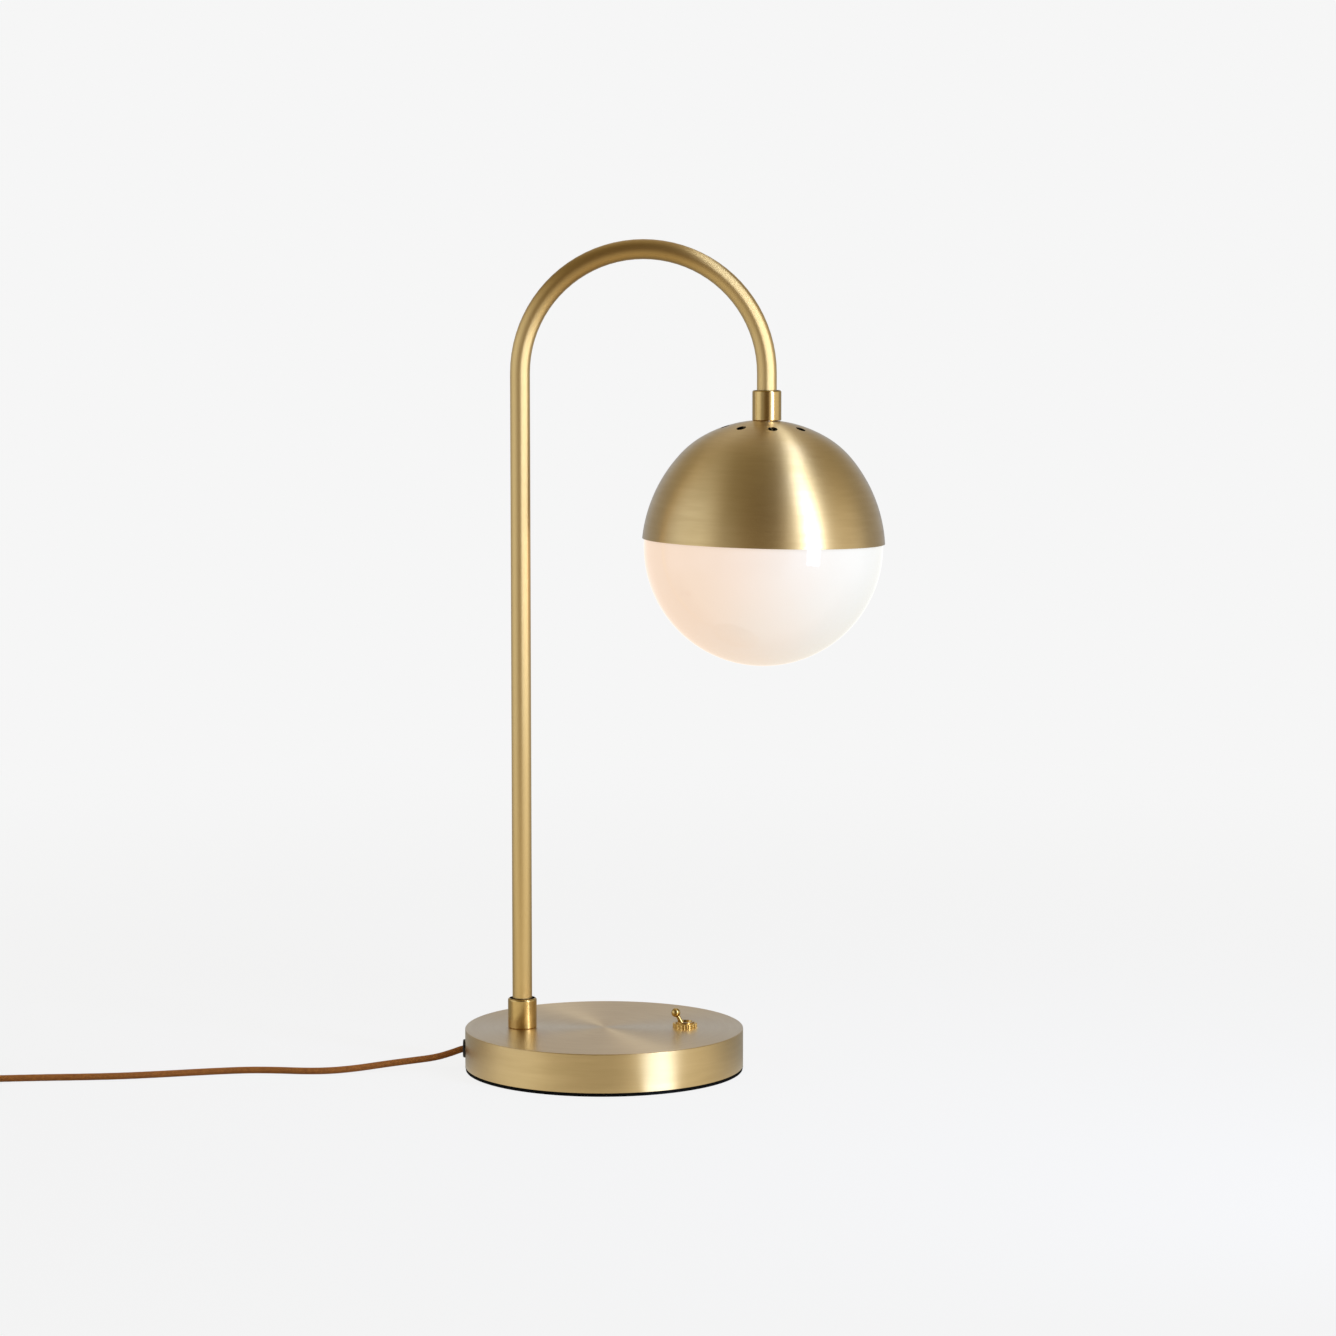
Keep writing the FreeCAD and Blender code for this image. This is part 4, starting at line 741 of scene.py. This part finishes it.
@dataclass
class Cord:
    """The braided mains cord: its route on the table, its coil and its tail.

    Attributes:
        finishes: Where its material comes from.
        radius: Half its thickness.
        length: From the exit to the plug.
        exit: Where it leaves the grommet.
        start: Its end inside the grommet.
        coil_centre: The middle of its coil.
        inner_turn: The radius of the coil's inner turns.
        outer_turn: The radius of its outer turns.
        turns: How many turns a layer of the coil has.
        over_run: How much of a turn it runs on after the last whole one.
        low_layer: The height of the lower layer's middle.
        high_layer: The height of the upper layer's middle.
        points_per_turn: How many points of the route a turn has.
        step: Over how many degrees it goes from one turn to the next.
        curve_steps: How many points the smooth curve has for each of the route's.
        sides: How many sides it has round.
        fine: The distance of its rings where the braid stands out.
        plain: Their distance on the rest.
        fine_run: How far from its start the braid stands out.
        relief: How deep the braid's gaps are.
        weld: How close points are to be one.
        run: Its route over the table.
        tail: Its route from the coil to the plug.
    """

    finishes: Finishes
    radius: float = 0.00215
    length: float = 1.73
    exit: Point = (-0.0894, 0.0, 0.0125)
    start: Point = (-0.0868, 0.0, 0.0125)
    coil_centre: tuple[float, float] = (-0.420, -0.017)
    inner_turn: float = 0.01915
    outer_turn: float = 0.03245
    turns: int = 4
    over_run: float = 0.25
    low_layer: float = 0.00285
    high_layer: float = 0.00735
    points_per_turn: int = 16
    step: float = 80.0
    curve_steps: int = 60
    sides: int = 32
    fine: float = 0.00042
    plain: float = 0.0011
    fine_run: float = 0.34
    relief: float = 0.00014
    weld: float = 0.000002

    run: list[Point] = field(default_factory=lambda: [
        (-0.0894, 0.0, 0.0125), (-0.0965, -0.0002, 0.0098), (-0.1070, -0.0010, 0.0068),
        (-0.1215, -0.0034, 0.0054), (-0.1385, -0.0078, 0.0040), (-0.1560, -0.0142, 0.0026),
        (-0.1725, -0.0199, 0.0022), (-0.1880, -0.0207, 0.0022), (-0.2050, -0.0178, 0.0022),
        (-0.2230, -0.0169, 0.0022), (-0.2410, -0.0203, 0.0022), (-0.2590, -0.0249, 0.0022),
        (-0.2790, -0.0304, 0.0022), (-0.3010, -0.0356, 0.0022), (-0.3250, -0.0384, 0.0022),
        (-0.3490, -0.0401, 0.0022), (-0.3720, -0.0436, 0.0024), (-0.3920, -0.0476, 0.0027),
        (-0.4100, -0.0492, 0.0029),
    ])
    tail: list[Point] = field(default_factory=lambda: [
        (-0.4522, -0.0040, 0.0070), (-0.4518, 0.0020, 0.00695), (-0.4506, 0.0080, 0.0069),
        (-0.4490, 0.0130, 0.00685), (-0.4476, 0.0180, 0.00685), (-0.4470, 0.0240, 0.00685),
    ])

    def coil(self) -> list[Point]:
        """The coil's turns: flat ones from outside to inside, then as many over them and out again."""
        count = self.points_per_turn
        last = 2 * self.turns - 1
        pitch = (self.outer_turn - self.inner_turn) / (self.turns - 1)
        wider = 1 / math.cos(math.pi / count)
        columns = [*range(self.turns), *reversed(range(self.turns)), 0]
        layers = [0.0] * self.turns + [1.0] * (self.turns + 1)
        points = []
        for index in range(1, int((2 * self.turns + self.over_run) * count) + 1):
            turned = index / count
            whole = min(int(turned), last)
            part = min(1.0, max(0.0, (turned - whole - 1) * 360 / self.step + 1))
            eased = part ** 2 * (3 - 2 * part) if whole < last else 0.0
            column = columns[whole] + (columns[whole + 1] - columns[whole]) * eased
            layer = layers[whole] + (layers[whole + 1] - layers[whole]) * eased
            reach = (self.outer_turn - column * pitch) * wider
            angle = -math.pi / 2 - 2 * math.pi * turned
            points.append((
                self.coil_centre[0] + reach * math.cos(angle),
                self.coil_centre[1] + reach * math.sin(angle),
                self.low_layer + (self.high_layer - self.low_layer) * layer,
            ))
        return points

    def line(self) -> list[Vector]:
        """The middles of the cord's rings, picked from the points of one smooth curve over the route."""
        route = [self.start, *self.run, *self.coil(), *self.tail]
        data = bpy.data.curves.new("cord_line", "CURVE")
        data.dimensions = "3D"
        data.resolution_u = self.curve_steps
        line = data.splines.new("NURBS")
        line.points.add(len(route) - 1)
        for spot, point in zip(route, line.points):
            point.co = (*spot, 1.0)
        line.order_u = 3
        line.use_endpoint_u = True
        bare = bpy.data.meshes.new_from_object(bpy.data.objects.new("cord_line", data))
        spots = [vertex.co.copy() for vertex in bare.vertices]
        kept, run, since = [spots[0]], 0.0, 0.0
        for last, spot in zip(spots, spots[1:]):
            since += (spot - last).length
            if since >= (self.fine if run < self.fine_run else self.plain):
                kept.append(spot)
                run, since = run + since, 0.0
        kept[-1] = spots[-1]
        return kept

    @staticmethod
    def frames(line: Sequence[Vector]) -> list[tuple[Vector, Vector]]:
        """Two directions across the line at each of its points, which turn as little as they can."""
        side = Vector((0.0, 1.0, 0.0))
        made = []
        for index in range(len(line)):
            ahead = line[min(index + 1, len(line) - 1)] - line[max(index - 1, 0)]
            ahead.normalize()
            side = (side - ahead * side.dot(ahead)).normalized()
            made.append((side, ahead.cross(side)))
        return made

    def mesh(self, line: Sequence[Vector]) -> bpy.types.Mesh:
        """A tube over the line with the braid's relief, and a UV map of metres along and turns round.

        Args:
            line: The middles of its rings.

        Returns:
            The closed mesh.
        """
        made = bmesh.new()
        bmesh.ops.create_grid(made, x_segments=len(line) - 1, y_segments=self.sides, size=0.5)
        runs = [0.0]
        for last, spot in zip(line, line[1:]):
            runs.append(runs[-1] + (spot - last).length)
        frames = self.frames(line)
        chart = made.loops.layers.uv.new("braid")
        for face in made.faces:
            face.smooth = True
            for loop in face.loops:
                ring = round((loop.vert.co.x + 0.5) * (len(line) - 1))
                loop[chart].uv = (runs[ring], loop.vert.co.y + 0.5)
        for vertex in made.verts:
            ring, around = round((vertex.co.x + 0.5) * (len(line) - 1)), vertex.co.y + 0.5
            sunk = 0.0
            if runs[ring] < self.fine_run:
                sunk = self.relief * (1 - Braid.height(runs[ring], around))
            side, other = frames[ring]
            turn = 2 * math.pi * around
            out = side * math.cos(turn) + other * math.sin(turn)
            vertex.co = line[ring] + out * (self.radius - sunk)
        bmesh.ops.remove_doubles(made, verts=made.verts, dist=self.weld)
        bmesh.ops.holes_fill(made, edges=[edge for edge in made.edges if edge.is_boundary], sides=0)
        bmesh.ops.recalc_face_normals(made, faces=made.faces)
        data = bpy.data.meshes.new("braided_cord")
        made.to_mesh(data)
        made.free()
        return data

    def build(self, frame: dict[str, Any]) -> bpy.types.Object:
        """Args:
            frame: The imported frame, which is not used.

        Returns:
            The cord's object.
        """
        line = self.line()
        cord = bpy.data.objects.new("braided_cord", self.mesh(line))
        bpy.context.scene.collection.objects.link(cord)
        cord.data.materials.append(self.finishes.get("braid"))
        log.info("cord of %d rings and %d faces", len(line), len(cord.data.polygons))
        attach(cord, "root")
        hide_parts("cord_run", "cord_coil", "cord_tail")
        return cord


@dataclass(frozen=True)
class Zone:
    """A round zone of the sky with a soft edge.

    Attributes:
        azimuth: Its side: degrees from the front towards the right.
        rise: Its middle's height above the horizon, in degrees.
        reach: How many degrees it reaches from its middle.
        core: How many of them are at full strength.
        strength: How much light it adds, or takes away below zero.
        cool: How cool its light is, from 0 to 1.
    """

    azimuth: float
    rise: float
    reach: float
    core: float = 0.0
    strength: float = 0.0
    cool: float = 0.0

    def share(self, graph: Graph, heading: Value) -> Value:
        """The zone over every direction.

        Args:
            graph: The nodes that use it.
            heading: The direction that is looked in.

        Returns:
            One in its middle and zero outside.
        """
        side, lift = math.radians(self.azimuth), math.radians(self.rise)
        middle = (math.sin(side) * math.cos(lift), -math.cos(side) * math.cos(lift), math.sin(lift))
        near = graph.vectors("DOT_PRODUCT", heading, middle, output="Value")
        return near.smooth(math.cos(math.radians(self.reach)), math.cos(math.radians(self.core)))


@dataclass(frozen=True)
class Studio:
    """The camera, the light and the pale floor.

    Attributes:
        eye: Where the camera is.
        ahead: Where it looks.
        lens: Its focal length in millimetres.
        sensor: Its sensor's width in millimetres.
        pale: The background's brightness.
        floor_size: The floor's width.
        lamp_colour: The soft boxes' colour.
    """

    eye: Point = (0.03488, -2.3883, 0.4938)
    ahead: Point = (0.0023, 0.99502, -0.0996)
    lens: float = 103.05
    sensor: float = 36.0
    pale: float = 0.922
    floor_size: float = 60.0
    lamp_colour: Colour = (0.80, 0.98, 1.45)

    white: ClassVar[tuple[float, float, float, float]] = (1.0, 1.0, 1.0, 1.0)

    # The sky's light: the same all round, then a darker front and top and brighter sides and back.
    all_round: ClassVar[float] = 0.37
    front: ClassVar[Zone] = Zone(2.0, 14.0, 36.0, 4.0, -0.23)
    sides: ClassVar[tuple[Zone, ...]] = (
        Zone(-78.0, 13.0, 40.0, 14.0, 0.70, 1.0),
        Zone(42.0, 8.0, 29.0, 4.0, 0.82, 0.8),
        Zone(82.0, 2.0, 36.0, 0.0, 0.50),
        Zone(184.0, 55.0, 34.0, 6.0, 0.42, 0.4),
        Zone(180.0, 6.0, 42.0, 0.0, 0.14, 0.55),
    )
    top: ClassVar[tuple[float, float]] = (0.25, 0.8)
    top_dim: ClassVar[float] = 0.14
    warm_rise: ClassVar[tuple[float, float]] = (0.1, 0.6)
    warm_top: ClassVar[Colour] = (1.0, 0.86, 0.56)
    warm_front: ClassVar[Colour] = (1.0, 0.72, 0.40)
    cool_side: ClassVar[Colour] = (0.92, 1.0, 1.14)

    # The floor as the camera sees it.
    shadow_depth: ClassVar[float] = 0.075
    shadow_fades: ClassVar[tuple[float, float]] = (0.3, 1.6)

    # The floor as the metal mirrors it: dim and warm near the lamp and lighter in front of it,
    # with a cool ray that starts at a point under the base.
    near_level: ClassVar[float] = 0.32
    fore_light: ClassVar[tuple[float, float, float, float]] = (-0.10, 0.06, 0.50, 0.0)
    dark_front: ClassVar[Zone] = Zone(0.0, 0.0, 40.0, 0.0, -0.06)
    ray: ClassVar[Zone] = Zone(47.0, 0.0, 19.0, 4.0, 1.9)
    ray_source: ClassVar[Point] = (0.006, -0.0535, 0.0)
    ray_ends: ClassVar[tuple[float, float]] = (0.20, 0.32)
    ray_path: ClassVar[tuple[float, float]] = (0.18, 0.28)
    near_colour: ClassVar[Colour] = (1.0, 0.97, 0.86)
    ray_colour: ClassVar[Colour] = (0.78, 1.0, 1.5)
    near_fades: ClassVar[tuple[float, float]] = (0.25, 1.5)

    def camera(self) -> None:
        """Places the camera."""
        data = bpy.data.cameras.new("camera")
        data.lens = self.lens
        data.sensor_width = self.sensor
        data.sensor_fit = "HORIZONTAL"
        data.clip_end = 200.0
        eye = bpy.data.objects.new("camera", data)
        turn = Vector(self.ahead).to_track_quat("-Z", "Y").to_matrix().to_4x4()
        eye.matrix_world = Matrix.Translation(self.eye) @ turn
        bpy.context.scene.collection.objects.link(eye)
        bpy.context.scene.camera = eye

    def light(self, graph: Graph, heading: Value) -> tuple[Value, Value]:
        """The soft light from each side: a warm dark front, a bright left, and paler sides and back.

        Args:
            graph: The nodes that use it.
            heading: The direction that is looked in.

        Returns:
            Its strength and its colour.
        """
        front = self.front.share(graph, heading)
        _, _, up = graph.split(heading)
        level = self.all_round + front * self.front.strength - up.smooth(*self.top) * self.top_dim
        cool: Any = 0.0
        for side in self.sides:
            share = side.share(graph, heading)
            level = level + share * side.strength
            if side.cool:
                cool = graph.maths("MAXIMUM", cool, share * side.cool)
        warm = graph.blend(up.smooth(*self.warm_rise), (1.0, 1.0, 1.0), self.warm_top)
        return level, graph.blend(cool, graph.blend(front, warm, self.warm_front), self.cool_side)

    def world(self) -> None:
        """A studio that is pale to the camera, and a soft light from each side to everything else."""
        world = bpy.data.worlds.new("studio")
        world.use_nodes = True
        bpy.context.scene.world = world
        graph = Graph(world.node_tree)
        level, colour = self.light(graph, graph.node("ShaderNodeTexCoord", output="Generated"))
        soft = graph.node("ShaderNodeBackground", None, {"Color": colour, "Strength": level})
        plain = graph.node("ShaderNodeBackground", None, {"Color": self.white, "Strength": self.pale})
        camera = graph.node("ShaderNodeLightPath", output="Is Camera Ray")
        through = graph.node("ShaderNodeLightPath", output="Is Transmission Ray")
        seen = graph.maths("MINIMUM", camera + through, 1.0)
        mixed = graph.node("ShaderNodeMixShader", None, {0: seen, 1: soft, 2: plain})
        graph.node("ShaderNodeOutputWorld", None, {"Surface": mixed})

    def seen_floor(self, graph: Graph, distance: Value) -> Value:
        """The floor to the camera.

        Args:
            graph: The floor's nodes.
            distance: How far a spot is from the lamp.

        Returns:
            A shader that keeps a soft shadow near the lamp and is evenly pale farther off.
        """
        shade = graph.node("ShaderNodeBsdfDiffuse", None, {"Color": (0.10, 0.10, 0.10, 1.0)})
        dimmer = {"Color": self.white, "Strength": self.pale - self.shadow_depth}
        close = graph.node(
            "ShaderNodeAddShader", None, {0: shade, 1: graph.node("ShaderNodeEmission", None, dimmer)}
        )
        distant = graph.node("ShaderNodeEmission", None, {"Color": self.white, "Strength": self.pale})
        away = distance.smooth(*self.shadow_fades)
        return graph.node("ShaderNodeMixShader", None, {0: away, 1: close, 2: distant})

    def mirrored_floor(self, graph: Graph, spot: Value, distance: Value) -> Value:
        """The floor to the metal that mirrors it.

        Args:
            graph: The floor's nodes.
            spot: A spot on the floor.
            distance: How far it is from the lamp.

        Returns:
            A shader that is dim near the lamp, but for a cool ray, and has the sky's light farther off.
        """
        heading = graph.vectors("NORMALIZE", spot)
        level, colour = self.light(graph, heading)
        _, along, _ = graph.split(spot)
        dark = self.dark_front.share(graph, heading) * self.dark_front.strength
        near = self.near_level + along.smooth(*self.fore_light) + dark
        aside = graph.vectors("NORMALIZE", graph.vectors("SUBTRACT", spot, self.ray_source))
        short = graph.node("ShaderNodeLightPath", output="Ray Length").smooth(*self.ray_path, 1.0, 0.0)
        ray = self.ray.share(graph, aside) * distance.smooth(*self.ray_ends, 1.0, 0.0) * short
        lit = near + ray * self.ray.strength
        far = distance.smooth(*self.near_fades)
        tint = graph.blend(far, graph.blend(ray, self.near_colour, self.ray_colour), colour)
        strength = lit + (level - lit) * far
        return graph.node("ShaderNodeEmission", None, {"Color": tint, "Strength": strength})

    def floor_material(self) -> bpy.types.Material:
        """The floor's material: one look to the camera, one to mirroring metal, and plain to all else."""
        material, graph = new_material("pale_floor", (0.9, 0.9, 0.9))
        spot = graph.place()
        distance = graph.vectors("LENGTH", spot, output="Value")
        plain = graph.node("ShaderNodeBsdfDiffuse", None, {"Color": (0.5, 0.5, 0.5, 1.0)})
        camera = graph.node("ShaderNodeLightPath", output="Is Camera Ray")
        glossy = graph.node("ShaderNodeLightPath", output="Is Glossy Ray")
        through = graph.node("ShaderNodeLightPath", output="Is Transmission Ray")
        dim = self.mirrored_floor(graph, spot, distance)
        mirrored = graph.node("ShaderNodeMixShader", None, {0: glossy, 1: plain, 2: dim})
        seen = self.seen_floor(graph, distance)
        path = graph.maths("MINIMUM", camera + through, 1.0)
        mixed = graph.node("ShaderNodeMixShader", None, {0: path, 1: mirrored, 2: seen})
        graph.node("ShaderNodeOutputMaterial", None, {"Surface": mixed})
        material.cycles.emission_sampling = "NONE"
        return material

    def floor(self) -> None:
        """A pale floor that keeps a soft shadow."""
        mesh = bmesh.new()
        bmesh.ops.create_grid(mesh, x_segments=1, y_segments=1, size=self.floor_size / 2)
        data = bpy.data.meshes.new("floor")
        mesh.to_mesh(data)
        mesh.free()
        floor = bpy.data.objects.new("floor", data)
        bpy.context.scene.collection.objects.link(floor)
        data.materials.append(self.floor_material())

    def lamp(
        self,
        name: str,
        spot: Point,
        target: Point,
        size: tuple[float, float],
        power: float,
        roll: float = 0.0,
    ) -> None:
        """A soft box.

        Args:
            name: Its name.
            spot: Where it stands.
            target: What it faces.
            size: Its width and height.
            power: Its power in watts.
            roll: How far it is turned about its own axis, in radians.
        """
        data = bpy.data.lights.new(name, "AREA")
        data.shape = "RECTANGLE"
        data.size, data.size_y = size
        data.energy = power
        data.color = self.lamp_colour
        lamp = bpy.data.objects.new(name, data)
        turn = (Vector(target) - Vector(spot)).to_track_quat("-Z", "Y").to_matrix().to_4x4()
        lamp.matrix_world = Matrix.Translation(spot) @ turn @ Matrix.Rotation(roll, 4, "Z")
        lamp.visible_camera = False
        bpy.context.scene.collection.objects.link(lamp)

    def build(self) -> None:
        """Sets up everything round the object."""
        self.camera()
        self.world()
        self.floor()
        self.lamp("key_strip", (0.595, -0.495, 0.77), (0.05, 0.0, 0.77), (0.16, 1.21), power=4.8)
        self.lamp(
            "top_strip", (0.47, 0.08, 1.27), (0.12, 0.0, 0.40), (0.11, 0.50), power=0.85,
            roll=math.radians(98),
        )
        bpy.context.scene.view_settings.view_transform = "Standard"


def main() -> None:
    """Builds the looks of the lamp round its frame."""
    logging.basicConfig(level=logging.INFO, format="%(name)s: %(message)s")
    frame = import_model()
    Studio().build()
    finishes = Finishes()
    for name, node in frame["nodes"].items():
        finishes.dress(node, DRESS[name])
    log.info("dressed %d nodes", len(frame["nodes"]))
    Cord(finishes).build(frame)


if __name__ == "__main__":
    main()
